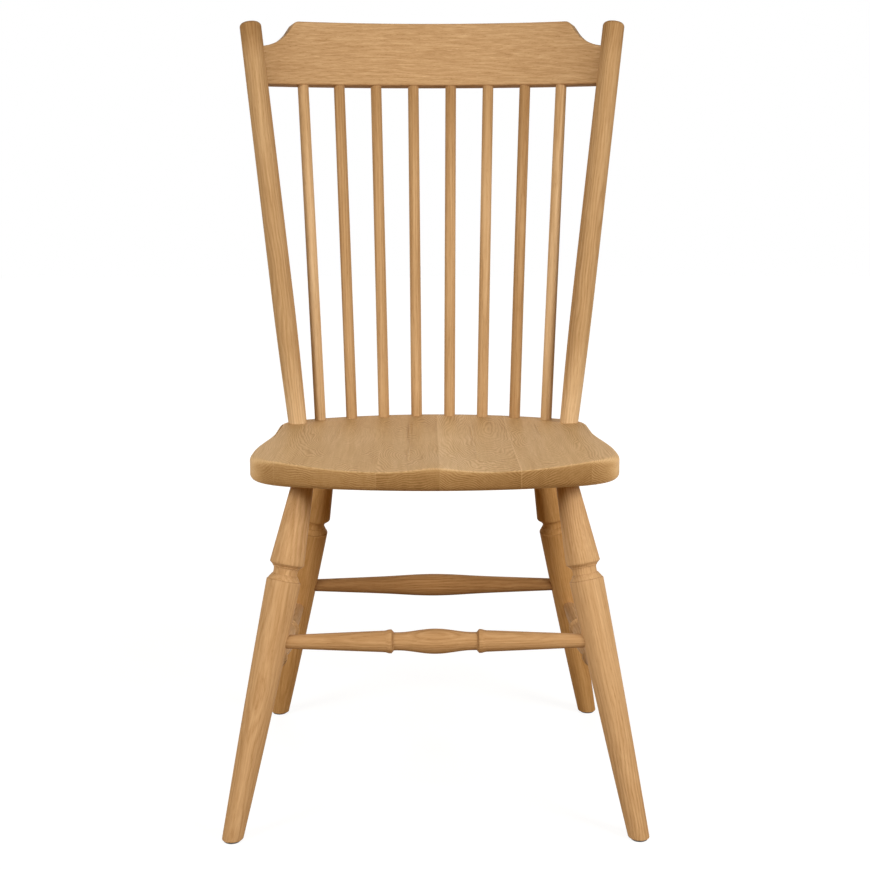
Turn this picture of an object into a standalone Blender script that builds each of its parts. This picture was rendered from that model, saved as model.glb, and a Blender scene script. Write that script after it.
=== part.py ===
"""A spindle-back Windsor side chair in oak, as its separate boards, turnings and bent rail.

Metres, +Z up. The chair faces -Y, and left and right are as seen from the front.
Places are first laid out about the middle of the seat. At the end the whole chair is
moved so that the origin lies on the floor under the middle of its outline box.
"""

import math

import bmesh
import bpy
import numpy as np
from mathutils import Matrix, Vector

# Joints and cutting
JOINT_GAP = 0.0003
CUT_OVERRUN = 0.02
WELD_DISTANCE = 0.000001

# Seat blank: its underside meets the seat's middle line at this height and falls towards the back
SEAT_HEIGHT = 0.4172
SEAT_THICKNESS = 0.029
SEAT_FALL = math.radians(2.3)
SEAT_FRONT_Y = -0.204
SEAT_FRONT_RADIUS = 0.55
SEAT_FRONT_ARC_END_X = 0.165
SEAT_FLARE_X = 0.221
SEAT_FLARE_Y = -0.085
SEAT_WAIST_X = 0.2085
SEAT_WAIST_Y = 0.060
SEAT_FRONT_CORNER_Y = -0.105
SEAT_BACK_CORNER_Y = 0.115
SEAT_BACK_ARC_END_X = 0.172
SEAT_BACK_MARGIN = 0.017
SEAT_TOP_ROUNDING = 0.003
SEAT_BACK_ROUNDING = 0.009
SEAT_ROUNDING_BLEND = 0.060
SEAT_BOTTOM_ROUNDING = 0.006
SEAM_PLACES_X = (-0.187, -0.068, 0.005, 0.098, 0.181)

# Saddle: one broad hollow, divided at the front by a pommel
HOLLOW_DEPTH = 0.0105
HOLLOW_HALF_WIDTH = 0.180
HOLLOW_FRONT_Y = -0.020
HOLLOW_BACK_REACH = 0.203
HOLLOW_SQUARENESS = 4
POMMEL_HALF_WIDTH = 0.035
POMMEL_END_Y = -0.030
RING_SHARES = (0.9, 0.76, 0.6, 0.42, 0.22)

# Legs: places where their axes meet the floor and the seat's underside
FRONT_FOOT_X = 0.2425
FRONT_FOOT_Y = -0.2055
FRONT_LEG_TOP_X = 0.1569
FRONT_LEG_TOP_Y = -0.1057
REAR_FOOT_X = 0.2240
REAR_FOOT_Y = 0.1900
REAR_LEG_TOP_X = 0.1424
REAR_LEG_TOP_Y = 0.1057
LEG_TOP_RADIUS = 0.0125
LEG_UPPER_SHOULDER_RADIUS = 0.0207
LEG_COVE_RADIUS = 0.0141
LEG_LOWER_SHOULDER_RADIUS = 0.0206
LEG_FOOT_RADIUS = 0.0124
LEG_SHAFT_SWELL = 0.0007
LEG_VASE_LENGTH = 0.1063
LEG_COVE_LENGTH = 0.0203
LEG_TENON_LENGTH = 0.020
LEG_SIDES = 24

# Glides: a disc under each foot, held by a nail
GLIDE_RADIUS = 0.0100
GLIDE_THICKNESS = 0.0022
GLIDE_ROUNDING = 0.0006
NAIL_RADIUS = 0.0012
NAIL_LENGTH = 0.014
NAIL_SEAT_DEPTH = 0.0012
GLIDE_SIDES = 20
NAIL_SIDES = 8

# Posts: from the seat's top to their domed tops
POST_BASE_X = 0.1845
POST_BASE_Y = 0.1325
POST_TOP_X = 0.2497
POST_TOP_Y = 0.2572
POST_TOP_HEIGHT = 0.9764
POST_RADIUS = 0.0148
POST_BASE_RADIUS = 0.0124
POST_TAPER_LENGTH = 0.180
POST_TOP_ROUNDING = 0.0055
POST_TOP_CROWN = 0.0018
POST_TENON_LENGTH = 0.022
POST_SIDES = 24

# Crest rail: its middle surface is level along its edges, bowed back and leaning with the posts.
# Its bottom edge is hung from the posts' tops, and its raised crown ends a span short of their axes.
RAIL_BELOW_POST_TOPS = 0.0850
RAIL_RISE = 0.0859
RAIL_END_RISE = 0.0511
RAIL_BOW_RADIUS = 0.405
RAIL_LEAN = math.radians(13.5)
RAIL_THICKNESS = 0.020
RAIL_EDGE_ROUNDING = 0.0025
RAIL_SHOULDER_SPAN = 0.0561
RAIL_SHOULDER_ANGLE = math.radians(53.5)
RAIL_SHOULDER_TOP_RADIUS = 0.009
RAIL_SHOULDER_FOOT_RADIUS = 0.034
RAIL_TENON_LENGTH = 0.020
RAIL_TENON_THICKNESS = 0.010
RAIL_TENON_HEIGHT = 0.034
RAIL_FLAT_STEPS = 14
RAIL_ARC_STEPS = 4

# Spindles: evenly spaced along an arc in the seat and along the rail's bow
SPINDLE_COUNT = 8
SPINDLE_RADIUS = 0.0076
SPINDLE_ARC_RADIUS = 0.340
SPINDLE_ARC_BACK_Y = 0.1990
SPINDLE_SEAT_PITCH = 0.0462
SPINDLE_RAIL_PITCH = 0.0533
SPINDLE_TENON_LENGTH = 0.018
SPINDLE_SIDES = 16

# Stretchers
FRONT_STRETCHER_HEIGHT = 0.2290
REAR_STRETCHER_HEIGHT = 0.2060
SIDE_STRETCHER_HEIGHT = 0.1760
STRETCHER_TENON_LENGTH = 0.015
STRETCHER_SIDES = 20
RINGED_STRETCHER_END_RADIUS = 0.0082
RINGED_STRETCHER_TAPER_ANGLE = math.radians(2.3)
RINGED_STRETCHER_BULB_RADIUS = 0.0150
RINGED_STRETCHER_NECK_RADIUS = 0.0108
RINGED_STRETCHER_BULB_REACH = 0.046
RINGED_STRETCHER_NECK_END = 0.0495
RINGED_STRETCHER_RING_PLACE = 0.0532
RINGED_STRETCHER_RING_RADIUS = 0.0142
RINGED_STRETCHER_RING_FADE = 0.0080
REAR_STRETCHER_END_RADIUS = 0.0079
REAR_STRETCHER_TAPER_ANGLE = math.radians(2.1)
REAR_STRETCHER_SWELL = 0.0012
REAR_STRETCHER_SWELL_REACH = 0.048
REAR_STRETCHER_BLEND = 0.015
TURNING_SHARES = (0.1, 0.2, 0.32, 0.46, 0.62, 0.8)

# Colours, as linear red, green and blue
OAK_LEG = (0.52, 0.30, 0.135)
OAK_SPINDLE = (0.50, 0.29, 0.13)
OAK_RAIL = (0.50, 0.28, 0.125)
OAK_SEAT = (0.50, 0.31, 0.15)
GLIDE_GREY = (0.16, 0.155, 0.15)
NAIL_STEEL = (0.45, 0.45, 0.46)


def clear_scene():
    for old in list(bpy.data.objects):
        bpy.data.objects.remove(old, do_unlink=True)


def finish(name, colour, roughness, metallic=0.0):
    """A plain material with the colour and gloss of one kind of piece."""
    material = bpy.data.materials.new(name)
    material.use_nodes = True
    shader = material.node_tree.nodes["Principled BSDF"]
    shader.inputs["Base Color"].default_value = (*colour, 1.0)
    shader.inputs["Roughness"].default_value = roughness
    shader.inputs["Metallic"].default_value = metallic
    material.diffuse_color = (*colour, 1.0)
    return material


def new_object(name, mesh, root, material=None):
    """An object of a mesh, riding on the chair's root. Without a material it is a hidden cutter."""
    made = bpy.data.objects.new(name, mesh)
    bpy.context.scene.collection.objects.link(made)
    made.parent = root
    if material:
        mesh.materials.append(material)
    else:
        made.hide_render = True
        made.display_type = "WIRE"
    return made


def boolean(target, cutter, operation="DIFFERENCE"):
    modifier = target.modifiers.new(f"{operation.lower()} {cutter.name}", "BOOLEAN")
    modifier.operation = operation
    modifier.object = cutter
    modifier.solver = "EXACT"


def bore(target, group):
    """Cuts a whole group of sockets from a piece at once."""
    modifier = target.modifiers.new(group.name, "BOOLEAN")
    modifier.operation = "DIFFERENCE"
    modifier.operand_type = "COLLECTION"
    modifier.collection = group
    modifier.solver = "EXACT"


def socket_group(name, sockets):
    group = bpy.data.collections.new(name)
    bpy.context.scene.collection.children.link(group)
    for socket in sockets:
        bpy.context.scene.collection.objects.unlink(socket)
        group.objects.link(socket)
    return group


def turned_mesh(name, profile, sides):
    """A turning about Z. The profile is (radius, height) pairs from bottom to top, ends on the axis."""
    work = bmesh.new()
    corners = [work.verts.new((radius, 0.0, height)) for radius, height in profile]
    chain = [work.edges.new(pair) for pair in zip(corners, corners[1:])]
    bmesh.ops.spin(
        work,
        geom=corners + chain,
        axis=(0, 0, 1),
        angle=math.tau,
        steps=sides,
        use_merge=True,
    )
    bmesh.ops.remove_doubles(work, verts=work.verts, dist=WELD_DISTANCE)
    bmesh.ops.recalc_face_normals(work, faces=work.faces)
    mesh = bpy.data.meshes.new(name)
    work.to_mesh(mesh)
    work.free()
    mesh.shade_smooth()
    mesh.set_sharp_from_angle(angle=math.radians(35))
    return mesh


def turned_along(name, profile, sides, start, end, root, material=None):
    """A turning whose Z axis runs from start towards end, with its zero height at start."""
    made = new_object(name, turned_mesh(name, profile, sides), root, material)
    made.rotation_mode = "QUATERNION"
    made.rotation_quaternion = (end - start).to_track_quat("Z", "Y")
    made.location = start
    return made


def drill(name, mouth, inward, depth, radius, sides, root):
    """A hidden cutter for a round hole: from outside its mouth to a depth, clear of its tenon."""
    clear_radius = (radius + JOINT_GAP) / math.cos(math.pi / sides)
    profile = [
        (0.0, -CUT_OVERRUN),
        (clear_radius, -CUT_OVERRUN),
        (clear_radius, depth + JOINT_GAP),
        (0.0, depth + JOINT_GAP),
    ]
    return turned_along(name, profile, sides, mouth, mouth + inward, root)


def box_mesh(name, low, high):
    work = bmesh.new()
    bmesh.ops.create_cube(work, size=1.0)
    size = [b - a for a, b in zip(low, high)]
    middle = [(a + b) / 2 for a, b in zip(low, high)]
    bmesh.ops.scale(work, vec=size, verts=work.verts)
    bmesh.ops.translate(work, vec=middle, verts=work.verts)
    mesh = bpy.data.meshes.new(name)
    work.to_mesh(mesh)
    work.free()
    return mesh


def smooth_step(value):
    share = np.clip(value, 0.0, 1.0)
    return share * share * (3.0 - 2.0 * share)


def seat_underside(y):
    """Height of the seat's underside at a distance behind its middle line."""
    return SEAT_HEIGHT - y * math.tan(SEAT_FALL)


def seat_top(y):
    """Height of the blank's top, before it is hollowed."""
    return seat_underside(y) + SEAT_THICKNESS / math.cos(SEAT_FALL)


def arc_drop(radius, x):
    """How far an arc has fallen behind its tangent at a distance along it."""
    return radius - math.sqrt(radius * radius - x * x)


def corner_curve(start, knee, end, steps):
    """A rounded corner: the parabola that is tangent to both sides that meet at its knee."""
    shares = [(step + 1) / (steps + 1) for step in range(steps)]
    start, knee, end = Vector(start), Vector(knee), Vector(end)
    return [tuple(start.lerp(knee, t).lerp(knee.lerp(end, t), t)) for t in shares]


def seat_side_x(y):
    """Half width of the seat: a waist at the back that flares to the front."""
    share = smooth_step((SEAT_WAIST_Y - y) / (SEAT_WAIST_Y - SEAT_FLARE_Y))
    return SEAT_WAIST_X + (SEAT_FLARE_X - SEAT_WAIST_X) * float(share)


def seat_half_outline():
    """The right half of the seat's outline, from the middle of the front to the middle of the back."""
    front = [(x, SEAT_FRONT_Y + arc_drop(SEAT_FRONT_RADIUS, x)) for x in
             np.linspace(0.0, SEAT_FRONT_ARC_END_X, 8)]
    slope = SEAT_FRONT_ARC_END_X / (SEAT_FRONT_RADIUS - arc_drop(SEAT_FRONT_RADIUS, SEAT_FRONT_ARC_END_X))
    front_side_x = seat_side_x(SEAT_FRONT_CORNER_Y)
    front_knee = (front_side_x, front[-1][1] + slope * (front_side_x - SEAT_FRONT_ARC_END_X))
    sides = [(seat_side_x(y), y) for y in np.linspace(SEAT_FRONT_CORNER_Y, SEAT_BACK_CORNER_Y, 9)]
    radius = SPINDLE_ARC_RADIUS + SEAT_BACK_MARGIN
    back_y = SPINDLE_ARC_BACK_Y + SEAT_BACK_MARGIN
    back = [(x, back_y - arc_drop(radius, x)) for x in np.linspace(SEAT_BACK_ARC_END_X, 0.0, 9)]
    slope = SEAT_BACK_ARC_END_X / (radius - arc_drop(radius, SEAT_BACK_ARC_END_X))
    back_side_x = seat_side_x(SEAT_BACK_CORNER_Y)
    back_knee = (back_side_x, back[0][1] - slope * (back_side_x - SEAT_BACK_ARC_END_X))
    front_corner = corner_curve(front[-1], front_knee, sides[0], 5)
    back_corner = corner_curve(sides[-1], back_knee, back[0], 4)
    return front + front_corner + sides + back_corner + back


def seat_outline():
    """The whole outline, counter-clockwise, as an array of points."""
    right = seat_half_outline()
    left = [(-x, y) for x, y in reversed(right[1:-1])]
    return np.array(right + left)


def inset(outline, distances):
    """The outline's points, each moved inwards square to the outline by its own distance."""
    along = np.roll(outline, -1, axis=0) - np.roll(outline, 1, axis=0)
    along /= np.linalg.norm(along, axis=1)[:, None]
    inward = np.stack([-along[:, 1], along[:, 0]], axis=1)
    return outline + inward * distances[:, None]


def hollow_depth(x, y):
    """Depth of the saddle: a square-shouldered bowl, open to the front, less the pommel's ridge."""
    across = np.abs(x) / HOLLOW_HALF_WIDTH
    behind = np.maximum(0.0, y - HOLLOW_FRONT_Y) / HOLLOW_BACK_REACH
    reach = (across**HOLLOW_SQUARENESS + behind**HOLLOW_SQUARENESS) ** (2 / HOLLOW_SQUARENESS)
    ridge = 1.0 / (1.0 + (x / POMMEL_HALF_WIDTH) ** 2)
    fade = smooth_step((POMMEL_END_Y - y) / (POMMEL_END_Y - SEAT_FRONT_Y))
    return HOLLOW_DEPTH * np.maximum(0.0, 1.0 - reach) * (1.0 - ridge * fade)


def seat_rings():
    """Rings of points from the middle of the top, over the edge, to the rim of the underside."""
    outline = seat_outline()
    back = smooth_step((outline[:, 1] - SEAT_BACK_CORNER_Y) / SEAT_ROUNDING_BLEND)
    top_round = SEAT_TOP_ROUNDING + (SEAT_BACK_ROUNDING - SEAT_TOP_ROUNDING) * back
    bottom_round = np.full(len(outline), SEAT_BOTTOM_ROUNDING)
    shoulder = inset(outline, top_round)
    middle = shoulder.mean(axis=0)
    rings = []
    for share in sorted(RING_SHARES):
        flat = middle + (shoulder - middle) * share
        rings.append((flat, SEAT_THICKNESS - hollow_depth(flat[:, 0], flat[:, 1])))
    for turn in np.radians((0, 45, 90)):
        flat = inset(outline, top_round * (1 - math.sin(turn)))
        crown = SEAT_THICKNESS - hollow_depth(flat[:, 0], flat[:, 1])
        rings.append((flat, crown - top_round * (1 - math.cos(turn))))
    for turn in np.radians((0, 45, 90)):
        flat = inset(outline, bottom_round * (1 - math.cos(turn)))
        rings.append((flat, bottom_round * (1 - math.sin(turn))))
    return middle, rings


def seat_blank_mesh():
    """The whole shaped seat, in its own tilted frame, with zero height on its underside."""
    middle, rings = seat_rings()
    work = bmesh.new()
    crown = SEAT_THICKNESS - float(hollow_depth(middle[0], middle[1]))
    pole = work.verts.new((*middle, crown))
    loops = [[work.verts.new((x, y, z)) for (x, y), z in zip(flat, heights)] for flat, heights in rings]
    count = len(loops[0])
    for i in range(count):
        work.faces.new((pole, loops[0][i], loops[0][(i + 1) % count]))
    for upper, lower in zip(loops, loops[1:]):
        for i in range(count):
            j = (i + 1) % count
            work.faces.new((upper[i], lower[i], lower[j], upper[j]))
    work.faces.new(list(reversed(loops[-1])))
    bmesh.ops.recalc_face_normals(work, faces=work.faces)
    mesh = bpy.data.meshes.new("seat_blank")
    work.to_mesh(mesh)
    work.free()
    return mesh


def make_seat(root, oak, sockets):
    """The seat's boards: slices of one shaped blank, edge-glued, then bored for legs and back."""
    blank = seat_blank_mesh()
    blank.materials.append(oak)
    edge = SEAT_FLARE_X + CUT_OVERRUN
    seams = (-edge, *SEAM_PLACES_X, edge)
    group = socket_group("seat_sockets", sockets)
    for number, (left, right) in enumerate(zip(seams, seams[1:]), start=1):
        board = new_object(f"seat_board_{number}", blank.copy(), root)
        board.hide_render = False
        board.display_type = "TEXTURED"
        board.location.z = SEAT_HEIGHT
        board.rotation_euler.x = -SEAT_FALL
        low = (left + JOINT_GAP / 2, SEAT_FRONT_Y - CUT_OVERRUN, -CUT_OVERRUN)
        high = (right - JOINT_GAP / 2, SPINDLE_ARC_BACK_Y + SEAT_BACK_MARGIN + CUT_OVERRUN,
                SEAT_THICKNESS + CUT_OVERRUN)
        slab = new_object(f"seat_slab_{number}", box_mesh(f"seat_slab_{number}", low, high), root)
        slab.location.z = SEAT_HEIGHT
        slab.rotation_euler.x = -SEAT_FALL
        boolean(board, slab, "INTERSECT")
        bore(board, group)


def leg_axis(front, side):
    """Where a leg's axis meets the floor and the seat's underside."""
    if front:
        foot = Vector((side * FRONT_FOOT_X, FRONT_FOOT_Y, 0.0))
        top = (side * FRONT_LEG_TOP_X, FRONT_LEG_TOP_Y)
    else:
        foot = Vector((side * REAR_FOOT_X, REAR_FOOT_Y, 0.0))
        top = (side * REAR_LEG_TOP_X, REAR_LEG_TOP_Y)
    return foot, Vector((*top, seat_underside(top[1])))


def at_height(low, high, height):
    """The point of an axis at a height."""
    return low.lerp(high, (height - low.z) / (high.z - low.z))


def leg_radius(length, place):
    """Radius of a leg's shaft at a distance from its foot: a taper that swells a little."""
    share = place / (length - LEG_VASE_LENGTH - LEG_COVE_LENGTH)
    straight = LEG_FOOT_RADIUS + (LEG_LOWER_SHOULDER_RADIUS - LEG_FOOT_RADIUS) * share
    return straight + LEG_SHAFT_SWELL * 4 * share * (1 - share)


def leg_profile(length):
    """Radius and distance from the foot: shaft, lower shoulder, cove, upper shoulder, vase, tenon."""
    shaft_end = length - LEG_VASE_LENGTH - LEG_COVE_LENGTH
    profile = [(0.0, -CUT_OVERRUN), (LEG_FOOT_RADIUS, -CUT_OVERRUN)]
    for share in (0.0, 0.2, 0.4, 0.6, 0.8):
        profile.append((leg_radius(length, shaft_end * share), shaft_end * share))
    cove_shares = ((0.0, 1.0), (0.08, 0.85), (0.2, 0.42), (0.36, 0.08), (0.56, 0.0),
                   (0.76, 0.2), (0.9, 0.5), (1.0, 1.0))
    for place_share, bulk_share in cove_shares:
        shoulder = LEG_LOWER_SHOULDER_RADIUS if place_share < 0.5 else LEG_UPPER_SHOULDER_RADIUS
        radius = LEG_COVE_RADIUS + (shoulder - LEG_COVE_RADIUS) * bulk_share
        profile.append((radius, shaft_end + LEG_COVE_LENGTH * place_share))
    profile.append((LEG_TOP_RADIUS, length))
    profile.append((LEG_TOP_RADIUS, length + LEG_TENON_LENGTH))
    profile.append((0.0, length + LEG_TENON_LENGTH))
    return profile


def stretcher_ends(first, second, height):
    """Ends of a stretcher between two legs, each a tenon's length inside its leg."""
    ends = []
    for foot, top in (first, second):
        centre = at_height(foot, top, height)
        radius = leg_radius((top - foot).length, (centre - foot).length)
        ends.append((centre, radius))
    along = (ends[1][0] - ends[0][0]).normalized()
    start = ends[0][0] + along * (ends[0][1] - STRETCHER_TENON_LENGTH)
    end = ends[1][0] - along * (ends[1][1] - STRETCHER_TENON_LENGTH)
    return start, end


def rear_stretcher_radius(place, half):
    """A long taper from both ends that swells softly over the middle."""
    blunt = math.hypot(place, REAR_STRETCHER_BLEND) - REAR_STRETCHER_BLEND
    taper = math.tan(REAR_STRETCHER_TAPER_ANGLE) * max(0.0, half - STRETCHER_TENON_LENGTH - blunt)
    swell = REAR_STRETCHER_SWELL / (1 + (place / REAR_STRETCHER_SWELL_REACH) ** 4)
    return REAR_STRETCHER_END_RADIUS + taper + swell


def rear_stretcher_half(half):
    """Radii and places of the rear stretcher from its middle to one end."""
    places = [half * share for share in (0.0, *TURNING_SHARES)]
    places.append(half - STRETCHER_TENON_LENGTH)
    profile = [(rear_stretcher_radius(place, half), place) for place in places[:-1]]
    profile.append((REAR_STRETCHER_END_RADIUS, places[-1]))
    profile.append((REAR_STRETCHER_END_RADIUS, half))
    return profile


def ringed_stretcher_half(half):
    """Radii and places from the middle to one end: bulb, neck, raised ring, and a taper."""
    profile = []
    for share in (0.0, 0.2, 0.4, 0.6, 0.8, 1.0):
        bulge = math.cos(share * math.pi / 2) ** 2
        radius = RINGED_STRETCHER_NECK_RADIUS
        radius += (RINGED_STRETCHER_BULB_RADIUS - RINGED_STRETCHER_NECK_RADIUS) * bulge
        profile.append((radius, RINGED_STRETCHER_BULB_REACH * share))
    profile.append((RINGED_STRETCHER_NECK_RADIUS, RINGED_STRETCHER_NECK_END))
    profile.append((RINGED_STRETCHER_RING_RADIUS, RINGED_STRETCHER_RING_PLACE))
    taper_end = half - STRETCHER_TENON_LENGTH
    taper_start = RINGED_STRETCHER_RING_PLACE + RINGED_STRETCHER_RING_FADE
    slope = math.tan(RINGED_STRETCHER_TAPER_ANGLE)
    for share in (0.0, 0.3, 0.65, 1.0):
        place = taper_start + (taper_end - taper_start) * share
        radius = RINGED_STRETCHER_END_RADIUS + slope * (taper_end - place)
        profile.append((radius, place))
    profile.append((RINGED_STRETCHER_END_RADIUS, half))
    return profile


def whole_profile(half_profile, half):
    """Both halves of a symmetrical turning, closed at its ends, with zero height at one end."""
    far = [(radius, half + place) for radius, place in half_profile[1:]]
    near = [(radius, half - place) for radius, place in reversed(half_profile)]
    return [(0.0, 0.0), *near, *far, (0.0, 2 * half)]


def make_legs(root, oak, grey, steel):
    """Four legs on glides, joined by four stretchers."""
    floor = new_object("floor_cutter", box_mesh(
        "floor_cutter",
        (-FRONT_FOOT_X - CUT_OVERRUN * 2, FRONT_FOOT_Y - CUT_OVERRUN * 2, -CUT_OVERRUN * 2),
        (FRONT_FOOT_X + CUT_OVERRUN * 2, REAR_FOOT_Y + CUT_OVERRUN * 2, GLIDE_THICKNESS + JOINT_GAP),
    ), root)
    legs, axes = {}, {}
    for place, front in (("front", True), ("rear", False)):
        for hand, side in (("left", -1), ("right", 1)):
            foot, top = leg_axis(front, side)
            length = (top - foot).length
            leg = turned_along(f"leg_{place}_{hand}", leg_profile(length), LEG_SIDES, foot, top, root, oak)
            boolean(leg, floor)
            legs[place, hand], axes[place, hand] = leg, (foot, top)
            make_glide(f"{place}_{hand}", leg, foot, top, root, grey, steel)
    for hand in ("left", "right"):
        make_stretcher(f"stretcher_{hand}", legs, axes, (("front", hand), ("rear", hand)),
                       SIDE_STRETCHER_HEIGHT, ringed_stretcher_half, RINGED_STRETCHER_END_RADIUS, root, oak)
    make_stretcher("stretcher_front", legs, axes, (("front", "left"), ("front", "right")),
                   FRONT_STRETCHER_HEIGHT, ringed_stretcher_half, RINGED_STRETCHER_END_RADIUS, root, oak)
    make_stretcher("stretcher_rear", legs, axes, (("rear", "left"), ("rear", "right")),
                   REAR_STRETCHER_HEIGHT, rear_stretcher_half, REAR_STRETCHER_END_RADIUS, root, oak)


def make_stretcher(name, legs, axes, pair, height, half_profile, end_radius, root, oak):
    """One stretcher and the two holes that hold its ends."""
    start, end = stretcher_ends(axes[pair[0]], axes[pair[1]], height)
    half = (end - start).length / 2
    profile = whole_profile(half_profile(half), half)
    turned_along(name, profile, STRETCHER_SIDES, start, end, root, oak)
    along = (end - start).normalized()
    for key, tip, outward in ((pair[0], start, along), (pair[1], end, -along)):
        mouth = tip + outward * STRETCHER_TENON_LENGTH
        hole = drill(f"{name}_hole_{key[0]}_{key[1]}", mouth, -outward, STRETCHER_TENON_LENGTH,
                     end_radius, STRETCHER_SIDES, root)
        boolean(legs[key], hole)


def make_glide(place, leg, foot, top, root, grey, steel):
    """A glide's disc and nail under the middle of a foot, and their holes."""
    ground = at_height(foot, top, 0.0)
    up = Vector((0.0, 0.0, 1.0))
    flat_radius = GLIDE_RADIUS - GLIDE_ROUNDING
    disc_profile = [
        (0.0, 0.0),
        (flat_radius, 0.0),
        (GLIDE_RADIUS, GLIDE_ROUNDING),
        (GLIDE_RADIUS, GLIDE_THICKNESS - GLIDE_ROUNDING),
        (flat_radius, GLIDE_THICKNESS),
        (0.0, GLIDE_THICKNESS),
    ]
    disc = turned_along(f"glide_{place}", disc_profile, GLIDE_SIDES, ground, ground + up, root, grey)
    nail_foot = ground + up * (GLIDE_THICKNESS - NAIL_SEAT_DEPTH)
    nail_profile = [(0.0, 0.0), (NAIL_RADIUS, 0.0), (NAIL_RADIUS, NAIL_LENGTH - 2 * NAIL_RADIUS),
                    (0.0, NAIL_LENGTH)]
    turned_along(f"glide_nail_{place}", nail_profile, NAIL_SIDES, nail_foot, nail_foot + up, root, steel)
    disc_hole = drill(f"glide_hole_{place}", ground + up * GLIDE_THICKNESS, -up, NAIL_SEAT_DEPTH,
                      NAIL_RADIUS, NAIL_SIDES, root)
    boolean(disc, disc_hole)
    leg_hole = drill(f"nail_hole_{place}", ground + up * GLIDE_THICKNESS, up,
                     NAIL_LENGTH - NAIL_SEAT_DEPTH, NAIL_RADIUS, NAIL_SIDES, root)
    boolean(leg, leg_hole)


def leg_sockets(root):
    """Blind holes in the seat's underside for the legs' tenons."""
    sockets = []
    for front in (True, False):
        for side in (-1, 1):
            foot, top = leg_axis(front, side)
            up = (top - foot).normalized()
            name = f"leg_socket_{'front' if front else 'rear'}_{'left' if side < 0 else 'right'}"
            sockets.append(drill(name, top, up, LEG_TENON_LENGTH, LEG_TOP_RADIUS, LEG_SIDES, root))
    return sockets


def post_axis(side):
    """Where a post's axis meets the seat's top, and its top end."""
    base = Vector((side * POST_BASE_X, POST_BASE_Y, seat_top(POST_BASE_Y)))
    return base, Vector((side * POST_TOP_X, POST_TOP_Y, POST_TOP_HEIGHT))


def post_profile(length):
    """Radius and distance from the tenon's end: tenon, taper, straight shaft, rounded top."""
    tenon = POST_TENON_LENGTH
    profile = [(0.0, 0.0), (POST_BASE_RADIUS, 0.0), (POST_BASE_RADIUS, tenon)]
    for share in (0.35, 0.7, 1.0):
        radius = POST_BASE_RADIUS + (POST_RADIUS - POST_BASE_RADIUS) * math.sin(share * math.pi / 2)
        profile.append((radius, tenon + POST_TAPER_LENGTH * share))
    shoulder = tenon + length - POST_TOP_CROWN - POST_TOP_ROUNDING
    for turn in np.radians((0, 30, 60, 90)):
        radius = POST_RADIUS - POST_TOP_ROUNDING * (1 - math.cos(turn))
        profile.append((radius, shoulder + POST_TOP_ROUNDING * math.sin(turn)))
    profile.append((0.0, tenon + length))
    return profile


def make_posts(root, oak):
    """The two posts, with the sockets that hold their feet."""
    posts, sockets = [], []
    for hand, side in (("left", -1), ("right", 1)):
        base, top = post_axis(side)
        up = (top - base).normalized()
        heel = base - up * POST_TENON_LENGTH
        profile = post_profile((top - base).length)
        posts.append(turned_along(f"post_{hand}", profile, POST_SIDES, heel, top, root, oak))
        name = f"post_socket_{hand}"
        sockets.append(drill(name, base, -up, POST_TENON_LENGTH, POST_BASE_RADIUS, POST_SIDES, root))
    return posts, sockets


def rail_bottom_height():
    return POST_TOP_HEIGHT - RAIL_BELOW_POST_TOPS


def rail_meeting():
    """Where the rail's middle surface ends: on the right post's axis, at the middle of its end's height."""
    base, top = post_axis(1)
    return at_height(base, top, rail_bottom_height() + RAIL_END_RISE / 2)


def rail_back_y():
    """How far back the rail's middle is at its bottom, so that its ends meet the posts' axes."""
    meeting = rail_meeting()
    lean_back = RAIL_END_RISE / 2 * math.tan(RAIL_LEAN)
    return meeting.y + arc_drop(RAIL_BOW_RADIUS, meeting.x) - lean_back


def rail_frame(x, rise):
    """Middle surface point of the rail and its unit normal, pointing back."""
    back = rail_back_y() - arc_drop(RAIL_BOW_RADIUS, x) + rise * math.tan(RAIL_LEAN)
    bow_slope = x / math.sqrt(RAIL_BOW_RADIUS**2 - x * x)
    point = Vector((x, back, rail_bottom_height() + rise))
    return point, Vector((bow_slope, 1.0, -math.tan(RAIL_LEAN))).normalized()


def rail_shoulder():
    """(x, rise) along one shoulder: a small round, a straight slope and a wide hollow round."""
    top_radius, foot_radius, angle = RAIL_SHOULDER_TOP_RADIUS, RAIL_SHOULDER_FOOT_RADIUS, RAIL_SHOULDER_ANGLE
    turns = [angle * (step + 1) / RAIL_ARC_STEPS for step in range(RAIL_ARC_STEPS)]
    crown_end_x = rail_meeting().x - RAIL_SHOULDER_SPAN
    points = [(crown_end_x + top_radius * math.sin(turn),
               RAIL_RISE - top_radius * (1 - math.cos(turn))) for turn in turns]
    straight_drop = RAIL_RISE - RAIL_END_RISE - (top_radius + foot_radius) * (1 - math.cos(angle))
    slope_x = points[-1][0] + straight_drop / math.tan(angle)
    foot_x = slope_x + foot_radius * math.sin(angle)
    for turn in reversed([0.0, *turns]):
        points.append((foot_x - foot_radius * math.sin(turn),
                       RAIL_END_RISE + foot_radius * (1 - math.cos(turn))))
    return points


def rail_stations():
    """(x, rise of the top edge) along the rail, from its left end to its right end."""
    right = [*rail_shoulder(), (rail_meeting().x, RAIL_END_RISE)]
    left = [(-x, rise) for x, rise in reversed(right)]
    crown_end_x = rail_meeting().x - RAIL_SHOULDER_SPAN
    flat = [(x, RAIL_RISE) for x in np.linspace(-crown_end_x, crown_end_x, RAIL_FLAT_STEPS + 1)]
    return left + flat + right


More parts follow.
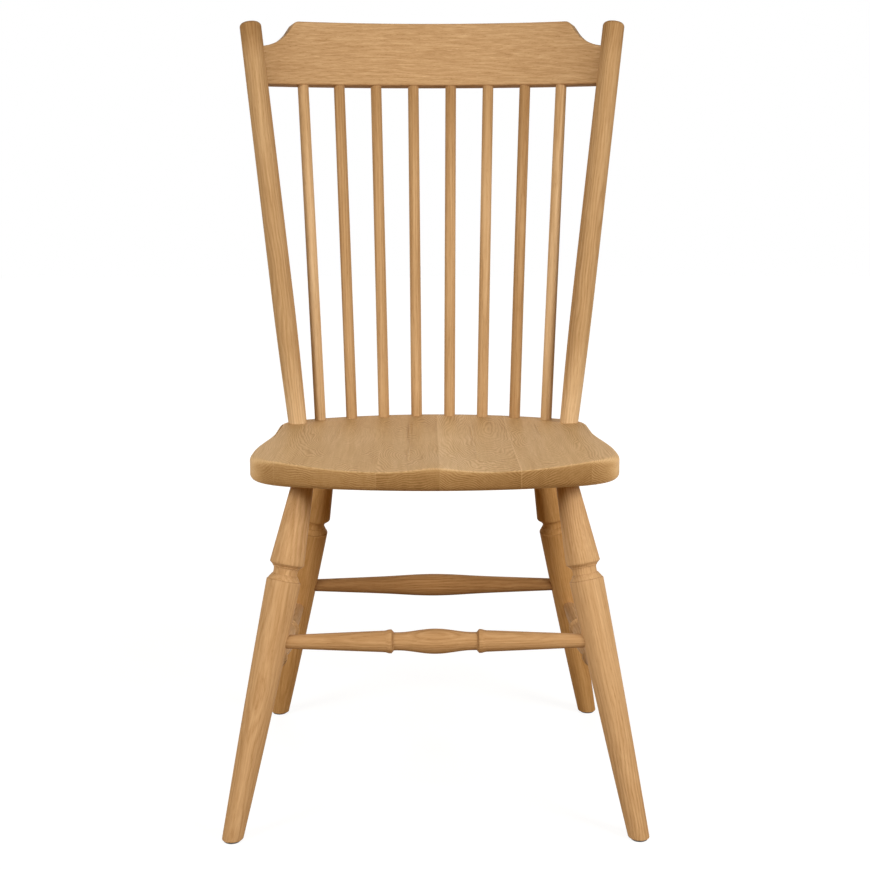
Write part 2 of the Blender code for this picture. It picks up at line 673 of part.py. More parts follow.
def rail_section(x, rise):
    """Eight points round the rail at one station: its rectangle with eased edges."""
    half, ease = RAIL_THICKNESS / 2, RAIL_EDGE_ROUNDING
    corners = (
        (-half, ease), (-half + ease, 0.0), (half - ease, 0.0), (half, ease),
        (half, rise - ease), (half - ease, rise), (-half + ease, rise), (-half, rise - ease),
    )
    section = []
    for across, up in corners:
        point, normal = rail_frame(x, up)
        section.append(point + normal * across)
    return section


def rail_mesh():
    """The rail's solid, lofted through its sections."""
    work = bmesh.new()
    loops = [[work.verts.new(p) for p in rail_section(x, rise)] for x, rise in rail_stations()]
    for left, right in zip(loops, loops[1:]):
        for i in range(len(left)):
            j = (i + 1) % len(left)
            work.faces.new((left[i], left[j], right[j], right[i]))
    work.faces.new(loops[0])
    work.faces.new(list(reversed(loops[-1])))
    bmesh.ops.recalc_face_normals(work, faces=work.faces)
    mesh = bpy.data.meshes.new("crest_rail")
    work.to_mesh(mesh)
    work.free()
    return mesh


def tenon_block(name, side, clearance, root):
    """The rail's flat tenon in a post, or with a clearance the mortise that holds it."""
    point, normal = rail_frame(side * rail_meeting().x, RAIL_END_RISE / 2)
    bow_slope = point.x / math.sqrt(RAIL_BOW_RADIUS**2 - point.x**2)
    along = Vector((1.0, -bow_slope, 0.0)).normalized() * side
    upward = normal.cross(along) * side
    frame = Matrix((along, normal * side, upward)).transposed().to_4x4()
    frame.translation = point
    inner = -(POST_RADIUS + RAIL_TENON_LENGTH)
    outer = RAIL_TENON_LENGTH - POST_RADIUS + clearance
    half_thickness = RAIL_TENON_THICKNESS / 2 + clearance
    half_height = RAIL_TENON_HEIGHT / 2 + clearance
    mesh = box_mesh(name, (inner, -half_thickness, -half_height), (outer, half_thickness, half_height))
    mesh.transform(frame)
    if frame.determinant() < 0:
        mesh.flip_normals()
    return new_object(name, mesh, root)


def make_crest_rail(root, oak, posts, sockets):
    """The rail: its ends coped to the posts and tenoned into them, bored below for the spindles."""
    rail = new_object("crest_rail", rail_mesh(), root, oak)
    for (hand, side), post in zip((("left", -1), ("right", 1)), posts):
        base, top = post_axis(side)
        length = (top - base).length
        clear_radius = POST_RADIUS + JOINT_GAP
        profile = [(0.0, 0.0), (clear_radius, 0.0), (clear_radius, length), (0.0, length)]
        cope = turned_along(f"rail_cope_{hand}", profile, POST_SIDES, base, top, root)
        boolean(rail, cope)
        boolean(rail, tenon_block(f"rail_tenon_{hand}", side, 0.0, root), "UNION")
        boolean(post, tenon_block(f"rail_mortise_{hand}", side, JOINT_GAP, root))
    bore(rail, socket_group("rail_sockets", sockets))


def spindle_axis(number):
    """Where a spindle's axis meets the seat's top and the rail's bottom, counted from the left."""
    step = number - (SPINDLE_COUNT - 1) / 2
    seat_turn = step * SPINDLE_SEAT_PITCH / SPINDLE_ARC_RADIUS
    seat_x = SPINDLE_ARC_RADIUS * math.sin(seat_turn)
    seat_y = SPINDLE_ARC_BACK_Y - arc_drop(SPINDLE_ARC_RADIUS, seat_x)
    rail_x = RAIL_BOW_RADIUS * math.sin(step * SPINDLE_RAIL_PITCH / RAIL_BOW_RADIUS)
    return Vector((seat_x, seat_y, seat_top(seat_y))), rail_frame(rail_x, 0.0)[0]


def make_spindles(root, oak):
    """The spindles, with the sockets that hold them in the seat and in the rail."""
    seat_sockets, rail_sockets = [], []
    for number in range(SPINDLE_COUNT):
        base, head = spindle_axis(number)
        up = (head - base).normalized()
        start = base - up * SPINDLE_TENON_LENGTH
        length = (head - start).length + SPINDLE_TENON_LENGTH
        profile = [(0.0, 0.0), (SPINDLE_RADIUS, 0.0), (SPINDLE_RADIUS, length), (0.0, length)]
        name = f"spindle_{number + 1}"
        turned_along(name, profile, SPINDLE_SIDES, start, head, root, oak)
        holes = (("seat", base, -up, seat_sockets), ("rail", head, up, rail_sockets))
        for place, mouth, inward, sockets in holes:
            sockets.append(drill(f"{name}_{place}_hole", mouth, inward, SPINDLE_TENON_LENGTH,
                                 SPINDLE_RADIUS, SPINDLE_SIDES, root))
    return seat_sockets, rail_sockets


def stand_on_origin(root):
    """Moves the chair so that the middle of its outline box is over the origin, its glides on the floor."""
    bpy.context.view_layer.update()
    graph = bpy.context.evaluated_depsgraph_get()
    points = []
    for part in root.children:
        if not part.hide_render:
            whole = part.evaluated_get(graph)
            points += [whole.matrix_world @ vertex.co for vertex in whole.to_mesh().vertices]
            whole.to_mesh_clear()
    places = np.array(points)
    low, high = places.min(axis=0), places.max(axis=0)
    root.location = (-(low[0] + high[0]) / 2, -(low[1] + high[1]) / 2, -low[2])


def main():
    clear_scene()
    root = bpy.data.objects.new("chair", None)
    bpy.context.scene.collection.objects.link(root)
    leg_oak = finish("oak_legs", OAK_LEG, 0.48)
    glide_grey = finish("glide_plastic", GLIDE_GREY, 0.55)
    make_legs(root, leg_oak, glide_grey, finish("nail_steel", NAIL_STEEL, 0.35, 1.0))
    posts, post_sockets = make_posts(root, leg_oak)
    seat_holes, rail_holes = make_spindles(root, finish("oak_spindles", OAK_SPINDLE, 0.48))
    make_crest_rail(root, finish("oak_crest_rail", OAK_RAIL, 0.48), posts, rail_holes)
    make_seat(root, finish("oak_seat", OAK_SEAT, 0.45), leg_sockets(root) + post_sockets + seat_holes)
    stand_on_origin(root)


main()
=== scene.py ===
"""The looks of a spindle-back Windsor side chair in clear-finished oak.

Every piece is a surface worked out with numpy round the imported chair, in metres, +Z up, with the
chair facing -Y. Each piece carries its own billet coordinates, so that the oak's growth rings and
fibres run through it as through a real board or turning blank.
"""

import math

import bpy
import numpy as np
from bpy.props import FloatProperty, FloatVectorProperty, IntProperty, PointerProperty
from mathutils import Matrix, Vector


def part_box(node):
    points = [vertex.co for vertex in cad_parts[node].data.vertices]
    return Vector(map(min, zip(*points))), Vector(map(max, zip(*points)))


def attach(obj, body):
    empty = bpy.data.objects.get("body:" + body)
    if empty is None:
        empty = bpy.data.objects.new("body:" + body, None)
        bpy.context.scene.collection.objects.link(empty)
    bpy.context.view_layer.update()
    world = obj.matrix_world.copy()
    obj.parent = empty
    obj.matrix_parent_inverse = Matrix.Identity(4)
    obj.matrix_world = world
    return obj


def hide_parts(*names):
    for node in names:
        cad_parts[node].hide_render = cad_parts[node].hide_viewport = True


bl_info = {
    "name": "Windsor Side Chair",
    "version": (1, 0, 0),
    "blender": (4, 5, 0),
    "location": "3D View > Sidebar > Windsor Chair",
    "description": "Builds an oak spindle-back chair piece by piece, with its stage",
    "category": "Object",
}

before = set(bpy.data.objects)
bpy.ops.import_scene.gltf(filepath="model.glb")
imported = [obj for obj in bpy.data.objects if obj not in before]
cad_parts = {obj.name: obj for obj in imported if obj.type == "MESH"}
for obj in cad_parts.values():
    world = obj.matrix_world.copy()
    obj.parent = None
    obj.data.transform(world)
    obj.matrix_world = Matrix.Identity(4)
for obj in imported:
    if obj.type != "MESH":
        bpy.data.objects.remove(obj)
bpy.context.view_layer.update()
ROOT = "root"
UP = np.array((0.0, 0.0, 1.0))
FULL_TURN = 2.0 * math.pi
BILLET = "billet"
END_GRAIN = "end_grain"
FIGURE = "figure"
RANDOM_SEED = 7

# How far a piece runs on into its socket, and how little a crisp edge is eased
JOINT_REACH = 0.006
EASED = 0.0003
# Edges that bend by more than this stay crisp when a piece is shaded
CRISP_ANGLE = math.radians(38)
# Points round a turned piece, and how far the pith of its billet lies from its axis
LEG_POINTS, STRETCHER_POINTS, SPINDLE_POINTS = 96, 72, 48
LEG_HEART, STRETCHER_HEART, SPINDLE_HEART = 0.045, 0.060, 0.035
# Where the rail was cut along its billet
RAIL_OFFSET = 21.0


def length(name, description, default):
    """A length that a user can change, in metres."""
    return FloatProperty(name=name, description=description, default=default, unit="LENGTH", precision=4)


def angle(name, description, degrees):
    """An angle that a user can change, given in degrees and kept in radians."""
    return FloatProperty(name=name, description=description, default=math.radians(degrees),
                         subtype="ANGLE")


def colour(name, description, default):
    """A linear colour that a user can change."""
    return FloatVectorProperty(name=name, description=description, default=default, subtype="COLOR",
                               size=3, min=0.0, max=1.0)


def share(name, description, default):
    """A share from 0 to 1 that a user can change."""
    return FloatProperty(name=name, description=description, default=default, min=0.0, max=1.0)


def glide_centre(place):
    """The middle of a glide's underside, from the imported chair."""
    low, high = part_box(f"glide_{place}")
    return np.array(((low.x + high.x) / 2, (low.y + high.y) / 2, low.z))


FRONT_FOOT = glide_centre("front_right")
REAR_FOOT = glide_centre("rear_right")
FRONT_FOOT_BEFORE_MIDDLE = 0.2055
SEAT_MIDDLE_Y = FRONT_FOOT[1] + FRONT_FOOT_BEFORE_MIDDLE
HANDS = (("left", -1), ("right", 1))


class SeatSizes(bpy.types.PropertyGroup):
    """The shaped plank seat. Places along Y are measured from its middle."""

    height: length("Height", "Height of the underside at the seat's middle", 0.4172)
    thickness: length("Thickness", "Thickness of the plank before it is hollowed", 0.029)
    fall: angle("Fall", "Slope of the seat down to the back", 2.3)
    front_y: length("Front", "Foremost place of the front edge", -0.204)
    front_radius: length("Front radius", "Radius of the bowed front edge", 0.55)
    front_arc_end_x: length("Front bow end", "Where the bowed front gives way to the corner", 0.165)
    front_corner_y: length("Front corner", "Where the front corner meets the side", -0.105)
    flare_x: length("Flare half width", "Half width where the sides flare", 0.221)
    flare_y: length("Flare place", "Where the flare is full", -0.085)
    waist_x: length("Waist half width", "Half width at the waist", 0.2085)
    waist_y: length("Waist place", "Where the waist begins", 0.060)
    back_corner_y: length("Back corner", "Where the back corner leaves the side", 0.115)
    back_arc_end_x: length("Back bow end", "Where the bowed back gives way to the corner", 0.172)
    back_y: length("Back", "Hindmost place of the back edge", 0.216)
    back_radius: length("Back radius", "Radius of the bowed back edge", 0.357)
    top_rounding: length("Top rounding", "Rounding of the top arris along the front", 0.0035)
    side_rounding: length("Side rounding", "Rounding of the top arris at the corners and sides", 0.0075)
    pommel_rounding: length("Pommel rounding", "Rounding of the top arris at the pommel", 0.0075)
    back_rounding: length("Back rounding", "Rounding of the top arris along the back", 0.009)
    rounding_blend: length("Rounding blend", "Length over which one rounding becomes the other", 0.060)
    bottom_rounding: length("Bottom rounding", "Rounding of the bottom arris", 0.006)
    hollow_depth: length("Hollow depth", "Depth of the saddle", 0.0105)
    hollow_half_width: length("Hollow half width", "Half width of the saddle", 0.180)
    hollow_front_y: length("Hollow front", "Where the saddle starts to rise to the back", -0.020)
    hollow_back_reach: length("Hollow reach", "How far back from there the saddle runs out", 0.203)
    pommel_half_width: length("Pommel half width", "Half width of the rise between the thighs", 0.042)
    pommel_rise: share("Pommel rise", "How much of the saddle's depth the rise takes back", 0.78)
    pommel_end_y: length("Pommel end", "Where the pommel sinks into the saddle", -0.030)


class LegSizes(bpy.types.PropertyGroup):
    """The four turned legs, measured from the seat downwards."""

    front_top_x: length("Front top X", "Where a front leg meets the seat's underside", 0.1569)
    front_top_y: length("Front top Y", "Where a front leg meets the seat's underside", -0.1057)
    rear_top_x: length("Rear top X", "Where a rear leg meets the seat's underside", 0.1424)
    rear_top_y: length("Rear top Y", "Where a rear leg meets the seat's underside", 0.1057)
    top_radius: length("Top radius", "Radius at the seat", 0.0125)
    upper_shoulder_radius: length("Upper shoulder radius", "Radius of the vase's lower edge", 0.0207)
    fillet_radius: length("Fillet radius", "Radius of the thin fillet under the vase", 0.0163)
    cove_radius: length("Cove radius", "Smallest radius of the cove", 0.0144)
    lip_radius: length("Lip radius", "Radius of the small step above the shaft", 0.0192)
    lower_shoulder_radius: length("Lower shoulder radius", "Largest radius of the shaft", 0.0206)
    foot_radius: length("Foot radius", "Radius at the floor", 0.0124)
    shaft_swell: length("Shaft swell", "How far the shaft swells beyond a straight taper", 0.0007)
    vase_length: length("Vase length", "From the seat to the upper shoulder", 0.1063)
    cove_length: length("Cove length", "From the upper to the lower shoulder", 0.0203)
    foot_rounding: length("Foot rounding", "Rounding round the bottom of the foot", 0.0011)


class BackSizes(bpy.types.PropertyGroup):
    """The two posts and the spindles between them."""

    post_base_x: length("Post base X", "Where a post's axis meets the seat's top", 0.1845)
    post_base_y: length("Post base Y", "Where a post's axis meets the seat's top", 0.1325)
    post_top_x: length("Post top X", "Place of a post's top", 0.2497)
    post_top_y: length("Post top Y", "Place of a post's top", 0.2572)
    post_top_height: length("Post top height", "Height of a post's top", 0.9764)
    post_radius: length("Post radius", "Radius of a post above its taper", 0.0148)
    post_base_radius: length("Post base radius", "Radius of a post at the seat", 0.0124)
    post_taper: length("Post taper", "Length of the taper above the seat", 0.180)
    post_rounding: length("Post rounding", "Rounding round the top of a post", 0.0055)
    post_crown: length("Post crown", "Rise of the post's domed top above its rounding", 0.0018)
    spindle_count: IntProperty(name="Spindles", description="Number of spindles", default=8, min=2)
    spindle_radius: length("Spindle radius", "Radius of a spindle", 0.0076)
    arc_radius: length("Spindle arc", "Radius of the arc on which the spindles stand", 0.340)
    arc_back_y: length("Spindle arc back", "Hindmost place of that arc", 0.1990)
    seat_pitch: length("Seat pitch", "Spacing of the spindles along the seat's arc", 0.0462)
    rail_pitch: length("Rail pitch", "Spacing of the spindles along the rail", 0.0533)


class RailSizes(bpy.types.PropertyGroup):
    """The bowed crest rail."""

    below_tops: length("Below post tops", "Height from the rail's bottom edge to the posts' tops", 0.0850)
    rise: length("Rise", "Height of the raised middle", 0.0859)
    end_rise: length("End rise", "Height of the stepped-down ends", 0.0511)
    bow_radius: length("Bow radius", "Radius of the bow", 0.405)
    lean: angle("Lean", "Lean of the rail's face", 13.5)
    thickness: length("Thickness", "Thickness of the rail", 0.020)
    edge_rounding: length("Edge rounding", "Rounding of the long edges", 0.0026)
    shoulder_span: length("Shoulder span", "From the crown's end to the post's axis", 0.0535)
    shoulder_slope: angle("Shoulder slope", "Steepest slope of a shoulder", 59.2)
    shoulder_top_radius: length("Shoulder top radius", "Radius at the top of a shoulder", 0.0088)
    shoulder_foot_radius: length("Shoulder foot radius", "Radius at the foot of a shoulder", 0.0478)


class StretcherSizes(bpy.types.PropertyGroup):
    """The four stretchers."""

    front_height: length("Front height", "Height of the front stretcher", 0.2290)
    rear_height: length("Rear height", "Height of the rear stretcher", 0.2060)
    side_height: length("Side height", "Height of the side stretchers", 0.1760)
    end_depth: length("End depth", "How far an end goes into its leg", 0.015)
    end_radius: length("End radius", "Radius at the ends of the ringed stretchers", 0.0082)
    taper: angle("Taper", "Slope of the ringed stretchers' ends", 2.3)
    bulb_radius: length("Bulb radius", "Largest radius of the bulb", 0.0150)
    neck_radius: length("Neck radius", "Radius of the necks", 0.0108)
    bulb_reach: length("Bulb reach", "Half length of the bulb", 0.046)
    ring_place: length("Ring place", "From the middle to the inner edge of a ring's crest", 0.0523)
    ring_radius: length("Ring radius", "Radius of a ring's crest", 0.0143)
    ring_width: length("Ring width", "Width of a ring's crest", 0.0024)
    ring_fade: length("Ring fade", "Length over which a ring runs out into the taper", 0.0070)
    rear_end_radius: length("Rear end radius", "Radius at the rear stretcher's ends", 0.0079)
    rear_taper: angle("Rear taper", "Slope of the rear stretcher's ends", 2.1)
    rear_swell: length("Rear swell", "Extra radius in the rear stretcher's middle", 0.0012)
    rear_swell_reach: length("Rear swell reach", "How far that swelling reaches", 0.048)
    rear_blend: length("Rear blend", "Softening of the middle of the taper", 0.015)


class GlideSizes(bpy.types.PropertyGroup):
    """The glides under the feet."""

    radius: length("Radius", "Radius of a glide", 0.0100)
    thickness: length("Thickness", "Thickness of a glide", 0.0022)
    rounding: length("Rounding", "Rounding of a glide's edges", 0.0006)


class OakLook(bpy.types.PropertyGroup):
    """Colours and grain of the oak."""

    seat: colour("Seat oak", "Middle tone of the seat's boards", (0.592, 0.379, 0.180))
    rail: colour("Rail oak", "Middle tone of the crest rail", (0.500, 0.309, 0.151))
    spindle: colour("Spindle oak", "Middle tone of the spindles", (0.574, 0.366, 0.184))
    turned: colour("Turned oak", "Middle tone of the legs and stretchers", (0.545, 0.329, 0.156))
    # The rear legs' tone is the turned oak's with painted shade: deeper and browner, as in the seat's
    # shadow
    rear: colour("Rear legs", "Middle tone of the rear legs", (0.560, 0.314, 0.120))
    post: colour("Post oak", "Middle tone of the posts", (0.468, 0.284, 0.131))
    ring_width: length("Ring width", "Width of a year's growth", 0.0026)
    roughness: share("Roughness", "Roughness of the satin finish", 0.50)
    coat: share("Coat", "Strength of the clear coat", 0.01)


class StageLook(bpy.types.PropertyGroup):
    """Camera, lights and floor."""

    camera_x: length("Camera X", "Place of the camera", -0.01296)
    camera_before_middle: length("Camera distance", "How far it is before the seat's middle", 1.8038)
    camera_height: length("Camera height", "Height of the camera", 0.81579)
    camera_pitch: angle("Pitch", "How far the camera looks down", 11.456)
    camera_yaw: angle("Yaw", "How far the camera looks to the right", 0.447)
    camera_roll: angle("Roll", "How far the camera is tipped", -0.077)
    lens_mm: FloatProperty(name="Lens", description="Focal length in millimetres", default=60.0, min=1.0)
    floor_size: length("Floor size", "Side of the floor", 14.0)


SIZE_GROUPS = {
    "chair_seat": SeatSizes,
    "chair_legs": LegSizes,
    "chair_back": BackSizes,
    "chair_rail": RailSizes,
    "chair_stretchers": StretcherSizes,
    "chair_glides": GlideSizes,
    "chair_oak": OakLook,
    "chair_stage": StageLook,
}


# Grids, meshes and turnings


def smooth_step(value):
    """0 below 0, 1 above 1, and 3t^2 - 2t^3 between."""
    t = np.clip(value, 0.0, 1.0)
    return t * t * (3.0 - 2.0 * t)


def arc_drop(radius, x):
    """How far an arc has fallen behind its tangent: R - sqrt(R^2 - x^2)."""
    return radius - np.sqrt(radius**2 - x**2)


def unit(vector):
    """Vectors of length 1 in the same directions."""
    return vector / np.linalg.norm(vector, axis=-1, keepdims=True)


def closed_shell(name, rows, poles, billet_rows, billet_poles, grain, figure):
    """A closed mesh through rows of points that each run round the piece, with a pole at each end.

    Faces join point (i, j) to (i, j + 1), (i + 1, j + 1) and (i + 1, j), and fans close the ends.
    Where their signed volume comes out negative, all faces are turned over. Each point also keeps
    its billet coordinates, how squarely the grain ends there, |n . g|, and what the figure function
    makes of those two: the year of growth on the faces, the same on end grain, and its shade, which
    is its own tone with painted shade and light added.
    """
    count, around = rows.shape[:2]
    points = np.concatenate([rows.reshape(-1, 3), poles])
    billet = np.concatenate([billet_rows.reshape(-1, 3), billet_poles])
    here = np.arange(around)
    after = (here + 1) % around
    starts = (np.arange(count - 1) * around)[:, None]
    ring = [starts + here, starts + after, starts + around + after, starts + around + here]
    quads = np.stack(ring, axis=-1).reshape(-1, 4)
    last_row = (count - 1) * around
    fans = np.concatenate([
        np.stack([after, here, np.full(around, count * around)], axis=-1),
        np.stack([last_row + here, last_row + after, np.full(around, count * around + 1)], axis=-1),
    ])
    a, b, c, d = (points[quads[:, k]] for k in range(4))
    volume = np.einsum("ij,ij->", a, np.cross(b, c)) + np.einsum("ij,ij->", a, np.cross(c, d))
    if volume < 0:
        quads, fans = quads[:, ::-1], fans[:, ::-1]
    mesh = bpy.data.meshes.new(name)
    mesh.from_pydata(points, [], [*quads.tolist(), *fans.tolist()])
    mesh.shade_smooth()
    mesh.set_sharp_from_angle(angle=CRISP_ANGLE)
    normals = np.empty(len(points) * 3, dtype=np.float32)
    mesh.vertices.foreach_get("normal", normals)
    ending = np.abs((normals.reshape(-1, 3) * grain).sum(axis=1))
    layer = mesh.attributes.new(BILLET, "FLOAT_VECTOR", "POINT")
    layer.data.foreach_set("vector", billet.astype(np.float32).ravel())
    layer = mesh.attributes.new(FIGURE, "FLOAT_VECTOR", "POINT")
    layer.data.foreach_set("vector", figure(billet, ending).astype(np.float32).ravel())
    layer = mesh.attributes.new(END_GRAIN, "FLOAT", "POINT")
    layer.data.foreach_set("value", ending.astype(np.float32))
    piece = bpy.data.objects.new(name, mesh)
    bpy.context.scene.collection.objects.link(piece)
    return piece


def ring_directions(axis, around):
    """Unit vectors round an axis: cos(t) e1 + sin(t) e2, with e1 level and square to the axis."""
    first = unit(np.cross(UP, axis)) if abs(axis[2]) < 0.9999 else np.array((1.0, 0.0, 0.0))
    second = np.cross(axis, first)
    turn = np.linspace(0.0, FULL_TURN, around, endpoint=False)[:, None]
    return np.cos(turn) * first + np.sin(turn) * second, np.cos(turn[:, 0]), np.sin(turn[:, 0])


def round_figure(heart, own_and_painted_shade, painted_shading):
    """The figure of a turned billet: years by the distance from its heart, sqrt(x^2 + y^2) / w.

    Painted shade and light change its shade along it by each (amount, first place, last place), as a
    smooth step.
    """
    ring_width = bpy.context.scene.chair_oak.ring_width * 1.3

    def figure(billet, ending):
        years = np.hypot(billet[:, 0], billet[:, 1]) / ring_width
        along = billet[:, 2] - heart[2]
        shade = np.full(len(billet), own_and_painted_shade)
        for amount, first, last in painted_shading:
            shade = shade + amount * smooth_step((along - first) / (last - first))
        return np.stack([years, years, shade], axis=-1)

    return figure


def turning(name, start, end, outline, around, heart, own_and_painted_shade=0.0, level_reach=0.0, painted_shading=()):
    """A turned piece: start + s * axis + r(s) * (cos t * e1 + sin t * e2), from (s, r) points.

    Within a level reach of its start, s also takes up the lean of the ring directions, so that the
    foot is cut level with the floor. The billet's heart (pith) lies beside the axis.
    """
    axis = unit(np.asarray(end) - start)
    directions, cosines, sines = ring_directions(axis, around)
    places, radii = outline[:, :1], outline[:, 1:]
    along = np.repeat(places, around, axis=1)
    if level_reach:
        tilt = -radii * directions[:, 2] / axis[2]
        along = along + tilt * (1.0 - smooth_step(places / level_reach))
    rows = start + along[..., None] * axis + radii[..., None] * directions
    billet = np.stack([radii * cosines + heart[0], radii * sines + heart[1], along + heart[2]], axis=-1)
    ends = (places[0, 0], places[-1, 0])
    poles = [start + axis * place for place in ends]
    billet_poles = [(heart[0], heart[1], place + heart[2]) for place in ends]
    figure = round_figure(heart, own_and_painted_shade, painted_shading)
    return closed_shell(name, rows, poles, billet, billet_poles, axis, figure)


def quarter(first, last, steps, flat_first):
    """A quarter of an ellipse from one (place, radius) point to the next.

    It leaves the first point along the axis where flat_first is true, and square to it otherwise.
    """
    turn = np.linspace(0.0, math.pi / 2, steps)
    easy, hard = np.sin(turn), 1.0 - np.cos(turn)
    shares = np.stack([easy, hard] if flat_first else [hard, easy], axis=-1)
    return np.array(first) + (np.array(last) - first) * shares


def outline_of(*stretches):
    """Joins stretches of (place, radius) points into one outline, without its doubled points."""
    points = np.concatenate([np.atleast_2d(stretch) for stretch in stretches])
    step = np.linalg.norm(np.diff(points, axis=0), axis=1)
    return points[np.concatenate([[True], step > EASED / 10])]


def heart_of(generator, distance):
    """A heart for a billet: at a distance from the piece's axis, in a random direction and place."""
    turn = generator.uniform(0.0, FULL_TURN)
    reach = distance * generator.uniform(0.7, 1.4)
    return reach * math.cos(turn), reach * math.sin(turn), generator.uniform(1.0, 60.0)


def dress(piece, material, slot, *nodes):
    """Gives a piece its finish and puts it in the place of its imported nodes."""
    piece.data.materials.append(material)
    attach(piece, ROOT)
    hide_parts(*nodes)


def mirrored(point, side):
    """A point of the right half, or the same place on the left where side is -1."""
    return np.array((point[0] * side, point[1], point[2]))


# Node groups and materials


def socket_group(name, inputs, outputs):
    """An empty shader node group with named sockets: inputs are (name, kind, default)."""
    group = bpy.data.node_groups.new(name, "ShaderNodeTree")
    for label, kind, default in inputs:
        socket = group.interface.new_socket(label, in_out="INPUT", socket_type=kind)
        if default is not None:
            socket.default_value = default
    for label, kind in outputs:
        group.interface.new_socket(label, in_out="OUTPUT", socket_type=kind)
    return group, group.nodes.new("NodeGroupInput"), group.nodes.new("NodeGroupOutput")


class Wiring:
    """Short calls for adding and joining nodes in one tree."""

    def __init__(self, tree):
        self.tree = tree

    def join(self, source, target):
        self.tree.links.new(source, target)

    def feed(self, target, value):
        """Links a socket, or sets a plain value."""
        if isinstance(value, bpy.types.NodeSocket):
            self.join(value, target)
        else:
            target.default_value = value

    def add(self, kind, *values, options=(), **named_values):
        """A new node: its (name, value) options are set, then its inputs fed in order and by name."""
        node = self.tree.nodes.new(f"ShaderNode{kind}")
        for option, value in options:
            setattr(node, option, value)
        for target, value in zip(node.inputs, values):
            self.feed(target, value)
        for label, value in named_values.items():
            self.feed(node.inputs[label.replace("_", " ")], value)
        return node

    def math(self, operation, *values):
        """One step of arithmetic on numbers."""
        return self.add("Math", *values, options=[("operation", operation)]).outputs[0]

    def vector(self, operation, *values, **named_values):
        """One step of arithmetic on vectors."""
        node = self.add("VectorMath", *values, options=[("operation", operation)], **named_values)
        return node.outputs["Value" if operation in ("LENGTH", "DOT_PRODUCT") else "Vector"]

    def noise(self, place, stretch, detail=2.0, roughness=0.5, colour=False):
        """Noise whose coordinates are multiplied by a stretch along each billet axis."""
        node = self.add("TexNoise", Vector=self.vector("MULTIPLY", place, stretch), Scale=1.0,
                        Detail=detail, Roughness=roughness)
        return node.outputs["Color" if colour else "Fac"]

    def remap(self, value, low, high, to_low=0.0, to_high=1.0):
        """A smooth step from one value to another, while the input goes from low to high."""
        smooth = [("interpolation_type", "SMOOTHSTEP")]
        return self.add("MapRange", value, low, high, to_low, to_high, options=smooth).outputs["Result"]


# Noise cycles per metre across, through and along the grain
FIBRE_SCALE = (420.0, 420.0, 9.0)
HAIR_SCALE = (1100.0, 1100.0, 26.0)
BAND_SCALE = (120.0, 120.0, 3.5)
BROAD_SCALE = (26.0, 26.0, 5.0)
PORE_SCALE = (2100.0, 2100.0, 80.0)
FLECK_SCALE = (700.0, 850.0, 22.0)
WIGGLE_SCALE = (110.0, 110.0, 26.0)


